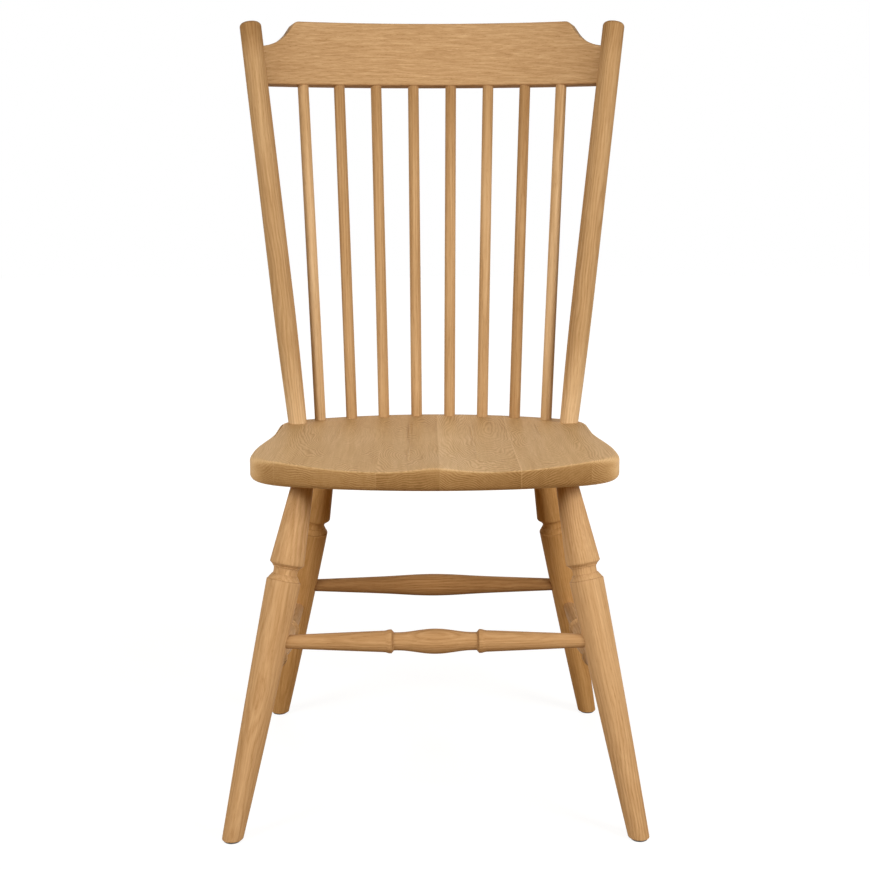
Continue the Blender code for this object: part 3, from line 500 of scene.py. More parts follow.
def oak_group():
    """Solid oak in billet coordinates, in metres, with Z along the grain.

    The figure gives the year of growth. Slow noise makes it drift, and each year is a dark line of
    pores and a paler line of dense wood. Fibres, bands and pale flecks are noises drawn out along
    the grain, which sways with the same slow noise. They add up, with the figure's shade, which
    holds painted shade and light as well as the piece's own tone, to one shade s, and the colour is
    tone^(1 + s / 2) (1 - 0.45 s - 0.1 e), where e is 1 on end grain, so that darker wood is also
    warmer, as under a clear finish.
    """
    group, inputs, outputs = socket_group(
        "oak grain",
        [
            ("Billet", "NodeSocketVector", None),
            ("Figure", "NodeSocketVector", None),
            ("End Grain", "NodeSocketFloat", 0.0),
            ("Tone", "NodeSocketColor", (0.55, 0.33, 0.15, 1.0)),
            ("Waviness", "NodeSocketFloat", 1.0),
            ("Wave Length", "NodeSocketFloat", 0.12),
            ("Sway", "NodeSocketFloat", 0.002),
            ("Shortness", "NodeSocketFloat", 1.0),
            ("Rings", "NodeSocketFloat", 0.2),
            ("End Rings", "NodeSocketFloat", 0.3),
            ("End Shade", "NodeSocketFloat", 0.3),
            ("Fibres", "NodeSocketFloat", 0.2),
            ("Bands", "NodeSocketFloat", 0.2),
            ("Flecks", "NodeSocketFloat", 0.1),
        ],
        [("Color", "NodeSocketColor"), ("Roughness", "NodeSocketFloat"), ("Height", "NodeSocketFloat")],
    )
    w = Wiring(group)
    given = inputs.outputs
    place = given["Billet"]
    face_years, end_years, own_and_painted_shade = w.add("SeparateXYZ", given["Figure"]).outputs
    wave = w.math("DIVIDE", 1.0, given["Wave Length"])
    across = w.math("MULTIPLY", wave, 4.0)
    slow_scale = w.add("CombineXYZ", across, across, wave).outputs["Vector"]
    slow = w.vector("SUBTRACT", w.noise(place, slow_scale, detail=1.0, colour=True), (0.5, 0.5, 0.5))
    wiggle = w.math("SUBTRACT", w.noise(place, WIGGLE_SCALE, detail=1.0), 0.5)
    drift = w.math("ADD", w.vector("DOT_PRODUCT", slow, (4.0, 0.0, 0.0)), w.math("MULTIPLY", wiggle, 0.9))
    drift = w.math("MULTIPLY", drift, given["Waviness"])

    def year_lines(years, drifting):
        """The dark line of each year, and the dark line less the pale one."""
        season = w.math("FRACT", w.math("ADD", years, w.math("MULTIPLY", drift, drifting)))
        dark = w.math("MULTIPLY", w.remap(season, 0.0, 0.14), w.remap(season, 0.18, 0.46, 1.0, 0.0))
        pale = w.math("MULTIPLY", w.remap(season, 0.42, 0.66), w.remap(season, 0.72, 0.98, 1.0, 0.0))
        return dark, w.math("SUBTRACT", dark, w.math("MULTIPLY", pale, 0.8))

    fine = w.vector("ADD", place, w.vector("SCALE", slow, Scale=given["Sway"]))
    drawn_out = w.add("CombineXYZ", 1.0, 1.0, given["Shortness"])
    fine = w.vector("MULTIPLY", fine, drawn_out.outputs["Vector"])
    fibre = w.noise(fine, FIBRE_SCALE, detail=3.0, roughness=0.6)
    hair = w.noise(fine, HAIR_SCALE, detail=2.0, roughness=0.6)
    band = w.noise(fine, BAND_SCALE, detail=2.0)
    broad = w.noise(place, BROAD_SCALE, detail=1.0)
    dark, face_lines = year_lines(face_years, 1.0)
    _, end_lines = year_lines(end_years, 0.6)
    pore = w.remap(w.noise(fine, PORE_SCALE, detail=1.0), 0.56, 0.70)
    pores = w.math("MULTIPLY", pore, w.math("ADD", w.math("MULTIPLY", dark, 0.7), 0.3))
    fleck = w.remap(w.noise(fine, FLECK_SCALE, detail=1.5), 0.58, 0.74)

    def centred(value, strength):
        return w.math("MULTIPLY", w.math("SUBTRACT", value, 0.5), strength)

    on_end = w.remap(given["End Grain"], 0.35, 0.90)
    patchy = w.remap(broad, 0.36, 0.60, 0.45, 1.30)
    face_shade = w.math("MULTIPLY", w.math("MULTIPLY", face_lines, given["Rings"]), patchy)
    end_shade = w.math("MULTIPLY", w.math("MULTIPLY", end_lines, given["End Rings"]), patchy)
    difference = w.math("SUBTRACT", end_shade, face_shade)
    ring_shade = w.math("ADD", face_shade, w.math("MULTIPLY", difference, on_end))
    fibre_shade = w.math("ADD", centred(fibre, 1.5), centred(hair, 1.2))
    fibre_shade = w.math("MULTIPLY", fibre_shade, given["Fibres"])
    band_shade = w.math("ADD", centred(band, 2.4), centred(broad, 1.6))
    band_shade = w.math("MULTIPLY", band_shade, given["Bands"])
    pore_shade = w.math("MULTIPLY", pores, w.math("MULTIPLY", given["Fibres"], 0.8))
    shade = w.math("ADD", w.math("ADD", ring_shade, fibre_shade), w.math("ADD", band_shade, pore_shade))
    shade = w.math("SUBTRACT", shade, w.math("MULTIPLY", fleck, given["Flecks"]))
    shade = w.math("ADD", shade, own_and_painted_shade)
    shade = w.math("ADD", shade, w.math("MULTIPLY", on_end, given["End Shade"]))
    shade = w.math("MAXIMUM", shade, -0.45)

    power = w.add("Gamma", given["Tone"], w.math("MULTIPLY_ADD", shade, 0.5, 1.0))
    dulling = w.math("MULTIPLY_ADD", shade, -0.45, w.math("MULTIPLY_ADD", on_end, -0.10, 1.0))
    w.join(w.vector("SCALE", power.outputs["Color"], Scale=dulling), outputs.inputs["Color"])
    w.join(w.math("MULTIPLY", shade, 0.16), outputs.inputs["Roughness"])
    height = w.math("SUBTRACT", w.math("MULTIPLY", fibre, 0.25), w.math("MULTIPLY", pores, 0.75))
    w.join(w.math("SUBTRACT", height, w.math("MULTIPLY", dark, 0.12)), outputs.inputs["Height"])
    return group


def point_value(w, label):
    """A value that a piece keeps at each of its points."""
    return w.add("Attribute", options=[("attribute_name", label)]).outputs


def new_material(name):
    """A material with the wiring of its nodes."""
    material = bpy.data.materials.new(name)
    material.use_nodes = True
    return material, Wiring(material.node_tree)


def oak_material(name, tone, **grain_values):
    """Satin oak: the oak grain group on a Principled shader, with its relief in a Bump node."""
    look = bpy.context.scene.chair_oak
    material, w = new_material(name)
    shader = w.tree.nodes["Principled BSDF"]
    group = bpy.data.node_groups.get("oak grain") or oak_group()
    grain = w.add("Group", point_value(w, BILLET)["Vector"], point_value(w, FIGURE)["Vector"],
                  point_value(w, END_GRAIN)["Fac"], (*tone, 1.0), options=[("node_tree", group)])
    for label, value in grain_values.items():
        grain.inputs[label.replace("_", " ").title()].default_value = value
    w.join(grain.outputs["Color"], shader.inputs["Base Color"])
    w.join(w.math("ADD", grain.outputs["Roughness"], look.roughness), shader.inputs["Roughness"])
    bump = w.add("Bump", Strength=0.25, Distance=0.00025, Height=grain.outputs["Height"])
    w.join(bump.outputs["Normal"], shader.inputs["Normal"])
    shader.inputs["Specular IOR Level"].default_value = 0.02
    shader.inputs["Coat Weight"].default_value = look.coat
    shader.inputs["Coat Roughness"].default_value = 0.35
    return material


def seat_oak():
    look = bpy.context.scene.chair_oak
    return oak_material("seat oak", look.seat, waviness=2.0, wave_length=0.11, sway=0.006, shortness=1.6,
                        rings=0.145, end_rings=0.18, end_shade=0.60, fibres=0.22, bands=0.12, flecks=0.08)


def turned_oak(name, tone):
    return oak_material(name, tone, waviness=1.3, wave_length=0.14, sway=0.006, shortness=1.4,
                        rings=0.09, end_rings=0.08, end_shade=0.14, fibres=0.34, bands=0.16, flecks=0.08)


def spindle_oak():
    look = bpy.context.scene.chair_oak
    return oak_material("spindle oak", look.spindle, waviness=0.8, wave_length=0.25, sway=0.002,
                        shortness=1.2, rings=0.10, end_rings=0.10, end_shade=0.14, fibres=0.34,
                        bands=0.22, flecks=0.05)


def rail_oak():
    look = bpy.context.scene.chair_oak
    return oak_material("crest rail oak", look.rail, waviness=1.2, wave_length=0.25, sway=0.01,
                        shortness=3.0, rings=0.03, end_rings=0.10, end_shade=0.20, fibres=0.46,
                        bands=0.10, flecks=0.16)


def plain_material(name, tone, roughness, metallic, speck_scale):
    """A moulded or drawn surface: one tone with faint specks and a slightly uneven gloss."""
    material, w = new_material(name)
    shader = w.tree.nodes["Principled BSDF"]
    place = w.add("TexCoord").outputs["Object"]
    speck = w.noise(place, (speck_scale, speck_scale, speck_scale), detail=3.0)
    darker = tuple(channel * 0.7 for channel in tone)
    mix = w.add("Mix", options=[("data_type", "RGBA")], Factor=speck, A=(*tone, 1.0), B=(*darker, 1.0))
    w.join(mix.outputs["Result"], shader.inputs["Base Color"])
    w.join(w.remap(speck, 0.3, 0.7, roughness - 0.08, roughness + 0.08), shader.inputs["Roughness"])
    shader.inputs["Metallic"].default_value = metallic
    return material


# The seat


def seat_side_x(seat, y):
    """Half width of the seat: a waist at the back that flares to the front."""
    return seat.waist_x + (seat.flare_x - seat.waist_x) * smooth_step(
        (seat.waist_y - y) / (seat.waist_y - seat.flare_y))


def seat_corner(start, knee, end, steps):
    """The parabola tangent to both sides that meet at its knee: (1-t)^2 A + 2t(1-t) K + t^2 B."""
    t = np.linspace(0.0, 1.0, steps)[1:-1, None]
    return (1 - t) ** 2 * np.array(start) + 2 * t * (1 - t) * np.array(knee) + t**2 * np.array(end)


def seat_outline(seat):
    """The outline from above, counter-clockwise, spaced evenly at about a millimetre."""
    front_x = np.linspace(0.0, seat.front_arc_end_x, 60)
    front = np.stack([front_x, seat.front_y + arc_drop(seat.front_radius, front_x)], axis=-1)
    side_y = np.linspace(seat.front_corner_y, seat.back_corner_y, 90)
    side = np.stack([seat_side_x(seat, side_y), side_y], axis=-1)
    back_x = np.linspace(seat.back_arc_end_x, 0.0, 60)
    back = np.stack([back_x, seat.back_y - arc_drop(seat.back_radius, back_x)], axis=-1)
    rise = seat.front_arc_end_x / math.sqrt(seat.front_radius**2 - seat.front_arc_end_x**2)
    front_knee = (side[0, 0], front[-1, 1] + rise * (side[0, 0] - seat.front_arc_end_x))
    fall = seat.back_arc_end_x / math.sqrt(seat.back_radius**2 - seat.back_arc_end_x**2)
    back_knee = (side[-1, 0], back[0, 1] - fall * (side[-1, 0] - seat.back_arc_end_x))
    right = np.concatenate([
        front, seat_corner(front[-1], front_knee, side[0], 40), side,
        seat_corner(side[-1], back_knee, back[0], 40), back,
    ])
    left = right[-2:0:-1] * (-1.0, 1.0)
    return respaced(np.concatenate([right, left]), 0.0011)


def respaced(outline, spacing):
    """A closed outline's points, spaced evenly along it."""
    closed, travelled = round_trip(outline)
    count = int(round(travelled[-1] / spacing))
    return points_along(closed, travelled, np.linspace(0.0, travelled[-1], count, endpoint=False))


def round_trip(outline):
    """A closed outline with its first point again at its end, and how far along it each point is."""
    closed = np.concatenate([outline, outline[:1]])
    return closed, np.concatenate([[0.0], np.cumsum(np.linalg.norm(np.diff(closed, axis=0), axis=1))])


def points_along(closed, travelled, wanted):
    """Points at the wanted distances along a closed outline."""
    return np.stack([np.interp(wanted, travelled, closed[:, k]) for k in (0, 1)], axis=-1)


def clipped(outline, limit, keep_right):
    """The part of a closed outline on one side of a line of constant X, with the cut closed."""
    side = (outline[:, 0] - limit) * (1.0 if keep_right else -1.0)
    after, side_after = np.roll(outline, -1, axis=0), np.roll(side, -1)
    crossing = side * side_after < 0
    share = np.where(crossing, side, 0.0) / np.where(crossing, side - side_after, 1.0)
    cuts = outline + (after - outline) * share[:, None]
    points = np.stack([outline, cuts], axis=1).reshape(-1, 2)
    return points[np.stack([side >= 0, crossing], axis=1).ravel()]


def filled(outline, spacing):
    """A closed outline's own points, with others put evenly along its long straight edges."""
    closed, travelled = round_trip(outline)
    even = np.arange(spacing, travelled[-1], spacing)
    nearest = np.abs(even[:, None] - travelled[None]).min(axis=1)
    wanted = np.sort(np.concatenate([travelled[:-1], even[nearest > 0.5 * spacing]]))
    return points_along(closed, travelled, wanted)


def distance_to(outline, points):
    """Distance from each point to a dense closed outline, as the distance to its nearest stretch."""
    starts = outline
    spans = np.roll(outline, -1, axis=0) - outline
    square = (spans**2).sum(axis=1)
    found = np.full(len(points), np.inf)
    for block in range(0, len(points), 2000):
        offset = points[block:block + 2000, None] - starts[None]
        t = np.clip((offset * spans).sum(axis=2) / square, 0.0, 1.0)
        gap = np.linalg.norm(offset - t[..., None] * spans, axis=2)
        found[block:block + 2000] = gap.min(axis=1)
    return found


def saddle_depth(seat, x, y):
    """Depth of the hollow: H (1 - rho^2), less the share of it that the pommel's ridge takes back.

    rho is a squarish ellipse, and 1 - rho^2 is kept above zero by a soft corner,
    (u + sqrt(u^2 + e^2)) / 2. The ridge dies away to both sides and to the back.
    """
    across = np.abs(x) / seat.hollow_half_width
    behind = np.maximum(0.0, y - seat.hollow_front_y) / seat.hollow_back_reach
    reach = np.sqrt(across**4 + behind**4)
    inside = 1.0 - reach
    soft = 0.5 * (inside + np.hypot(inside, 0.05))
    ridge = seat.pommel_rise / (1.0 + (x / seat.pommel_half_width) ** 2)
    fade = smooth_step((seat.pommel_end_y - y) / (seat.pommel_end_y - seat.front_y))
    return seat.hollow_depth * soft * (1.0 - ridge * fade)


def rounded_off(radius, distance):
    """How far a rounded arris has fallen at a distance from the edge: r - sqrt(r^2 - (r - d)^2)."""
    short = np.clip(radius - distance, 0.0, radius)
    return radius - np.sqrt(np.maximum(radius**2 - short**2, 0.0))


# How far the pommel's rounding spreads to each side, and where the corners' rounding sets in
POMMEL_ARRIS_REACH = 0.030
CORNER_ARRIS_START = 0.165
CORNER_ARRIS_LENGTH = 0.045


def arris_radius(seat, x, y):
    """Rounding of the top arris: small along the front, larger at the pommel, the sides and the back."""
    at_pommel = np.exp(-((x / POMMEL_ARRIS_REACH) ** 2))
    radius = seat.top_rounding + (seat.pommel_rounding - seat.top_rounding) * at_pommel
    to_side = smooth_step((np.abs(x) - CORNER_ARRIS_START) / CORNER_ARRIS_LENGTH)
    radius = radius + (seat.side_rounding - radius) * to_side
    to_back = smooth_step((y - seat.back_corner_y) / seat.rounding_blend)
    return radius + (seat.back_rounding - radius) * to_back


def seat_point(seat, flat, rise):
    """Points of the seat's own tilted frame, in the chair's frame."""
    y = flat[..., 1] * math.cos(seat.fall) + rise * math.sin(seat.fall)
    z = rise * math.cos(seat.fall) - flat[..., 1] * math.sin(seat.fall)
    return np.stack([flat[..., 0], y + SEAT_MIDDLE_Y, z + seat.height], axis=-1)


def board_plan(outline, left, right):
    """A board's outline from above: the seat's outline between two seams, with the seams filled."""
    return filled(clipped(clipped(outline, left, True), right, False), 0.0016)


def seat_board(name, seat, outline, left, right, offset, figure):
    """One board of the seat, as a closed shell: rings of its top, its edge, and rings of its underside.

    A point of a ring lies between the board's outline and its middle line. The top's height there is
    the blank's, less the saddle's depth and the rounding off near the seat's edge.
    """
    plan = board_plan(outline, left, right)
    middle_x = (plan[:, 0].min() + plan[:, 0].max()) / 2
    half = (plan[:, 0].max() - plan[:, 0].min()) / 2
    low_y, high_y = plan[:, 1].min() + 1.7 * half, plan[:, 1].max() - 1.7 * half
    spine = np.stack([np.full(len(plan), middle_x), np.clip(plan[:, 1], low_y, high_y)], axis=-1)
    inward = spine - plan
    near = np.array((0.0, 0.00008, 0.0003, 0.0007, 0.0013, 0.0021, 0.0031, 0.0045, 0.0062, 0.0085))
    steps = max(6, int(half / 0.0025))
    far = np.linspace(near[-1], half, steps + 1)[1:-1]
    distances = np.concatenate([near, far])
    shares = np.minimum(distances[:, None] / half, 1.0)
    rings = plan[None] + inward[None] * shares[..., None]
    flat = rings.reshape(-1, 2)
    edge = distance_to(outline, flat)
    edge = np.where(edge < 0.00002, 0.0, edge)
    radius = arris_radius(seat, flat[:, 0], flat[:, 1])
    top = seat.thickness - saddle_depth(seat, flat[:, 0], flat[:, 1]) - rounded_off(radius, edge)
    bottom = rounded_off(np.full(len(flat), seat.bottom_rounding), edge)
    shape = rings.shape[:2]
    top, bottom = top.reshape(shape), bottom.reshape(shape)
    walls = np.linspace(0.0, 1.0, 6)[1:-1, None]
    wall_rise = top[0] * (1 - walls) + bottom[0] * walls
    wall_flat = np.repeat(plan[None], len(walls), axis=0)
    all_flat = np.concatenate([rings[::-1], wall_flat, rings])
    all_rise = np.concatenate([top[::-1], wall_rise, bottom])
    centre = np.array((middle_x, (low_y + high_y) / 2))
    # The innermost rings collapse onto the middle line, so the poles only close a thin slit there.
    top_pole = seat.thickness - float(saddle_depth(seat, centre[0], centre[1]))
    rows = seat_point(seat, all_flat, all_rise)
    poles = [seat_point(seat, centre, np.float64(rise)) for rise in (top_pole, 0.0)]
    billet = np.stack([all_flat[..., 0], all_rise, all_flat[..., 1] + offset], axis=-1)
    billet_poles = [(middle_x, rise, centre[1] + offset) for rise in (top_pole, 0.0)]
    along = np.array((0.0, math.cos(seat.fall), -math.sin(seat.fall)))
    return closed_shell(name, rows, poles, billet, billet_poles, along, figure)


# Painted shade and light on the seat: painted shade to the back and down its ends, painted light near the
# ends' top, and a painted highlight along the front arris
PAINTED_BACK_SHADE = 0.18
PAINTED_END_GRADIENT = 0.40
ARRIS_HIGHLIGHT = 0.10
EDGE_HEIGHT = 0.027


def board_figure(left, right, offset, oval, tilt, shades):
    """The figure of a seat board: ovals drawn out along it on its faces, tilted lines on its ends.

    The years are (rise + sqrt((x - a)^2 + ((y - b) / k)^2 + e^2)) / 1.15 w on the faces, round the
    place (a, b), and (rise cos t - x sin t) / w on the ends. The shade leans from edge to edge, and
    painted shade deepens it to the back and down the ends, with painted light near their top. A
    painted highlight along the front arris and the glue line at the left are paler.
    """
    ring_width = bpy.context.scene.chair_oak.ring_width
    face_width = 1.15 * ring_width
    a, b, drawn_out = oval
    own, lean, glue_line, end_shade = shades
    middle, half = (left + right) / 2, (right - left) / 2

    def figure(billet, ending):
        x, rise, y = billet[:, 0], billet[:, 1], billet[:, 2] - offset
        reach = np.sqrt((x - a) ** 2 + ((y - b) / drawn_out) ** 2 + 0.0015**2)
        face = (rise + reach) / face_width
        end = (rise * math.cos(tilt) - x * math.sin(tilt)) / ring_width
        # The board's own shade and lean, with painted shade deepening towards the back of the seat
        shade = own + lean * (x - middle) / half + PAINTED_BACK_SHADE * smooth_step((y - 0.04) / 0.13)
        # Painted light near the top of the end grain and painted shade near its bottom
        shade = shade + (end_shade + PAINTED_END_GRADIENT * (0.5 - rise / EDGE_HEIGHT)) * ending**2
        shade = shade - glue_line * np.exp(-(((x - left) / 0.0012) ** 2))
        # A painted highlight along the rounded front arris
        arris = np.exp(-(((ending - 0.32) / 0.22) ** 2)) * (rise > 0.012) * (y < 0.05)
        shade = shade - ARRIS_HIGHLIGHT * arris
        return np.stack([face, end, shade], axis=-1)

    return figure


# Each board: its right edge, the place that its ovals go round and how far they are drawn out, the
# tilt of its end grain in degrees, and its shades: own, lean, glue line and end
SEAT_BOARDS = (
    (-0.187, (-0.330, 0.000, 9.0), 32.0, (0.00, 0.02, 0.0, -0.12)),
    (-0.068, (-0.118, 0.072, 3.2), -4.0, (0.03, 0.00, 0.06, -0.10)),
    (0.005, (-0.037, -0.081, 3.4), 8.0, (0.03, 0.02, 0.08, 0.06)),
    (0.098, (0.075, 0.110, 5.0), -24.0, (-0.05, 0.11, 0.0, 0.12)),
    (0.181, (0.125, 0.033, 3.0), 27.0, (-0.01, -0.01, 0.24, 0.13)),
    (0.300, (0.330, 0.000, 9.0), -30.0, (-0.02, -0.05, 0.0, -0.14)),
)


class BuildSeat(bpy.types.Operator):
    """Makes the six glued boards of the saddled seat"""

    bl_idname = "windsor.build_seat"
    bl_label = "Seat"

    def execute(self, context):
        seat = context.scene.chair_seat
        outline = seat_outline(seat)
        material = seat_oak()
        generator = np.random.default_rng(RANDOM_SEED)
        left = -SEAT_BOARDS[-1][0]
        for number, (right, oval, tilt, shades) in enumerate(SEAT_BOARDS):
            offset = generator.uniform(1.0, 60.0)
            figure = board_figure(max(left, -seat.flare_x), min(right, seat.flare_x), offset, oval,
                                  math.radians(tilt), shades)
            name = f"seat_board_{number + 1}"
            board = seat_board(f"oak_{name}", seat, outline, left, right, offset, figure)
            dress(board, material, "oak_seat", name)
            left = right
        return {"FINISHED"}


# The legs and their glides


def seat_underside(seat, y):
    """Height of the seat's underside at a distance behind the seat's middle."""
    return seat.height - y * math.tan(seat.fall)


def leg_axis(front, side):
    """Where a leg's axis meets the floor and the seat's underside."""
    legs, seat = bpy.context.scene.chair_legs, bpy.context.scene.chair_seat
    foot = mirrored(FRONT_FOOT if front else REAR_FOOT, side)
    x, y = (legs.front_top_x, legs.front_top_y) if front else (legs.rear_top_x, legs.rear_top_y)
    return foot, np.array((x * side, y + SEAT_MIDDLE_Y, seat_underside(seat, y)))


def shaft_radius(legs, length, place):
    """Radius of a leg's shaft: a straight taper plus a parabolic swell, 4 s u (1 - u)."""
    share = place / (length - legs.vase_length - legs.cove_length)
    straight = legs.foot_radius + (legs.lower_shoulder_radius - legs.foot_radius) * share
    return straight + legs.shaft_swell * 4 * share * (1 - share)


def leg_outline(legs, length, heel):
    """Places up the axis from the floor and radii.

    The shaft ends in an eased edge and a small step. A straight slope falls from there into the
    cove, which rises by a quarter ellipse to a thin fillet under the vase's undercut lower edge.
    """
    edge = length - legs.vase_length
    shaft_end = edge - legs.cove_length
    rounding = legs.foot_rounding
    ease = 0.0011

    def cove(share):
        """The place at a share of the cove's length above the shaft."""
        return shaft_end + share * legs.cove_length

    shaft = np.linspace(heel + rounding, shaft_end - ease, 90)
    foot_edge = shaft_radius(legs, length, heel + rounding)
    shoulder = shaft_radius(legs, length, shaft_end - ease)
    vase = np.linspace(edge + EASED, length + JOINT_REACH, 40)
    slope = (legs.upper_shoulder_radius - legs.top_radius) / (length - edge)
    floor = legs.cove_radius
    return outline_of(
        quarter((heel, foot_edge - rounding), (heel + rounding, foot_edge), 9, False),
        np.stack([shaft, shaft_radius(legs, length, shaft)], axis=-1),
        quarter((shaft_end - ease, shoulder), (shaft_end, shoulder - 0.8 * ease), 8, True),
        (shaft_end + 0.0003, legs.lip_radius),
        (shaft_end + 0.0012, legs.lip_radius - 0.0002),
        (cove(0.32), floor + 0.0012),
        quarter((cove(0.335), floor + 0.0009), (cove(0.42), floor), 8, False),
        quarter((cove(0.50), floor), (cove(0.755), legs.fillet_radius - 0.0007), 16, True),
        (cove(0.765), legs.fillet_radius),
        (cove(0.815), legs.fillet_radius + 0.0001),
        (edge - EASED, legs.upper_shoulder_radius - EASED),
        np.stack([vase, legs.upper_shoulder_radius - slope * (vase - edge)], axis=-1),
    )


class BuildLegs(bpy.types.Operator):
    """Makes the four turned legs, with feet cut level"""

    bl_idname = "windsor.build_legs"
    bl_label = "Legs"

    def execute(self, context):
        legs, glides = context.scene.chair_legs, context.scene.chair_glides
        look = context.scene.chair_oak
        generator = np.random.default_rng(RANDOM_SEED + 1)
        # The rear legs get the shaded copy of the turned oak and a painted shade, for the seat's shadow
        for place, tone, rear_painted_shade in (("front", look.turned, 0.0), ("rear", look.rear, 0.12)):
            material = turned_oak(f"{place} leg oak", tone)
            for hand, side in HANDS:
                foot, top = leg_axis(place == "front", side)
                axis = unit(top - foot)
                heel = (glides.thickness + EASED) / axis[2]
                outline = leg_outline(legs, np.linalg.norm(top - foot), heel)
                start = foot + axis * heel
                heart = heart_of(generator, LEG_HEART)
                own_and_painted_shade = generator.uniform(-0.02, 0.03) + rear_painted_shade
                leg = turning(f"oak_leg_{place}_{hand}", start, top, outline - (heel, 0.0), LEG_POINTS,
                              heart, own_and_painted_shade, level_reach=0.05)
                dress(leg, material, "oak_turned", f"leg_{place}_{hand}")
        return {"FINISHED"}


class BuildGlides(bpy.types.Operator):
    """Makes the four glides and gives their nails a steel finish"""

    bl_idname = "windsor.build_glides"
    bl_label = "Glides"

    def execute(self, context):
        glides = context.scene.chair_glides
        grey = plain_material("glide grey", (0.17, 0.165, 0.16), 0.55, 0.0, 900.0)
        steel = plain_material("nail steel", (0.45, 0.45, 0.46), 0.36, 1.0, 1400.0)
        inner, upper = glides.radius - glides.rounding, glides.thickness - glides.rounding
        outline = outline_of(
            quarter((0.0, inner), (glides.rounding, glides.radius), 6, False),
            quarter((upper, glides.radius), (glides.thickness, inner), 6, True),
        )
        for place, centre in (("front", FRONT_FOOT), ("rear", REAR_FOOT)):
            for hand, side in HANDS:
                foot = mirrored(centre, side)
                glide = turning(f"glide_disc_{place}_{hand}", foot, foot + UP, outline, SPINDLE_POINTS,
                                (0.0, 0.0, 0.0))
                dress(glide, grey, "glide", f"glide_{place}_{hand}")
                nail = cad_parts[f"glide_nail_{place}_{hand}"]
                nail.data.materials.clear()
                nail.data.materials.append(steel)
        return {"FINISHED"}


# The stretchers


def stretcher_ends(first, second, height):
    """Ends of a stretcher between two legs: the axes' points at its height, then out to its depth."""
    legs, stretchers = bpy.context.scene.chair_legs, bpy.context.scene.chair_stretchers
    centres, radii = [], []
    for foot, top in (first, second):
        centre = foot + (top - foot) * ((height - foot[2]) / (top[2] - foot[2]))
        centres.append(centre)
        radii.append(shaft_radius(legs, np.linalg.norm(top - foot), np.linalg.norm(centre - foot)))
    along = unit(centres[1] - centres[0])
    return (centres[0] + along * (radii[0] - stretchers.end_depth),
            centres[1] - along * (radii[1] - stretchers.end_depth))


def mirrored_outline(half_outline, half):
    """A symmetrical turning's outline from end to end, from the outline of its outer half."""
    near = half_outline[::-1] * (-1.0, 1.0) + (half, 0.0)
    return outline_of(near, half_outline + (half, 0.0))


def ringed_half(stretchers, half):
    """Bulb (cosine squared), neck, chamfer up to the ring's crest, and a fade into a straight taper."""
    reach, neck = stretchers.bulb_reach, stretchers.neck_radius
    bulb = np.linspace(0.0, reach, 48)
    bulge = np.cos(bulb / reach * math.pi / 2) ** 2
    ring, crest = stretchers.ring_place, stretchers.ring_radius
    taper_end = half - stretchers.end_depth
    fade_start = ring + stretchers.ring_width
    fade = np.linspace(fade_start, fade_start + stretchers.ring_fade, 16)
    taper = np.linspace(fade_start + stretchers.ring_fade, taper_end, 40)
    slope = math.tan(stretchers.taper)
    rest = 1.0 - smooth_step((fade - fade_start) / stretchers.ring_fade)
    fade_radius = stretchers.end_radius + slope * (taper_end - fade)
    fade_radius = fade_radius + (crest - 0.0001 - fade_radius) * rest**1.4
    return outline_of(
        np.stack([bulb, neck + (stretchers.bulb_radius - neck) * bulge], axis=-1),
        quarter((ring - 0.0033, neck), (ring - 0.0022, neck + 0.0008), 5, True),
        (ring - 0.0004, crest - 0.0007),
        quarter((ring - 0.0004, crest - 0.0007), (ring + 0.0007, crest), 7, False),
        np.stack([fade, fade_radius], axis=-1),
        np.stack([taper, stretchers.end_radius + slope * (taper_end - taper)], axis=-1),
        (half, stretchers.end_radius),
    )


def plain_half(stretchers, half):
    """A taper that is blunt in the middle, plus a soft swell, w / (1 + (x / reach)^4)."""
    places = np.linspace(0.0, half - stretchers.end_depth, 120)
    blunt = np.hypot(places, stretchers.rear_blend) - stretchers.rear_blend
    fall = math.tan(stretchers.rear_taper) * np.maximum(0.0, half - stretchers.end_depth - blunt)
    swell = stretchers.rear_swell / (1 + (places / stretchers.rear_swell_reach) ** 4)
    radii = stretchers.rear_end_radius + fall + swell
    return outline_of(np.stack([places, radii], axis=-1), (half, stretchers.rear_end_radius))


class BuildStretchers(bpy.types.Operator):
    """Makes the front, rear and side stretchers"""

    bl_idname = "windsor.build_stretchers"
    bl_label = "Stretchers"

    def execute(self, context):
        stretchers = context.scene.chair_stretchers
        material = turned_oak("turned oak", context.scene.chair_oak.turned)
        generator = np.random.default_rng(RANDOM_SEED + 2)
        corners = {(front, side): leg_axis(front, side) for front in (True, False) for side in (-1, 1)}
        # Each stretcher's last value is its shade; on the rear one it is mostly painted shade, for the
        # seat's shadow above it
        spans = (
            ("front", (True, -1), (True, 1), stretchers.front_height, ringed_half, 0.20),
            ("rear", (False, -1), (False, 1), stretchers.rear_height, plain_half, 0.64),
            ("left", (True, -1), (False, -1), stretchers.side_height, ringed_half, -0.04),
            ("right", (True, 1), (False, 1), stretchers.side_height, ringed_half, -0.04),
        )
        for name, first, second, height, half_outline, own_and_painted_shade in spans:
            start, end = stretcher_ends(corners[first], corners[second], height)
            half = np.linalg.norm(end - start) / 2
            outline = mirrored_outline(half_outline(stretchers, half), half)
            piece = turning(f"oak_stretcher_{name}", start, end, outline, STRETCHER_POINTS,
                            heart_of(generator, STRETCHER_HEART), own_and_painted_shade)
            dress(piece, material, "oak_turned", f"stretcher_{name}")
        return {"FINISHED"}


# The back


def seat_top(seat, y):
    """Height of the blank's top at a distance behind the seat's middle."""
    return seat_underside(seat, y) + seat.thickness / math.cos(seat.fall)


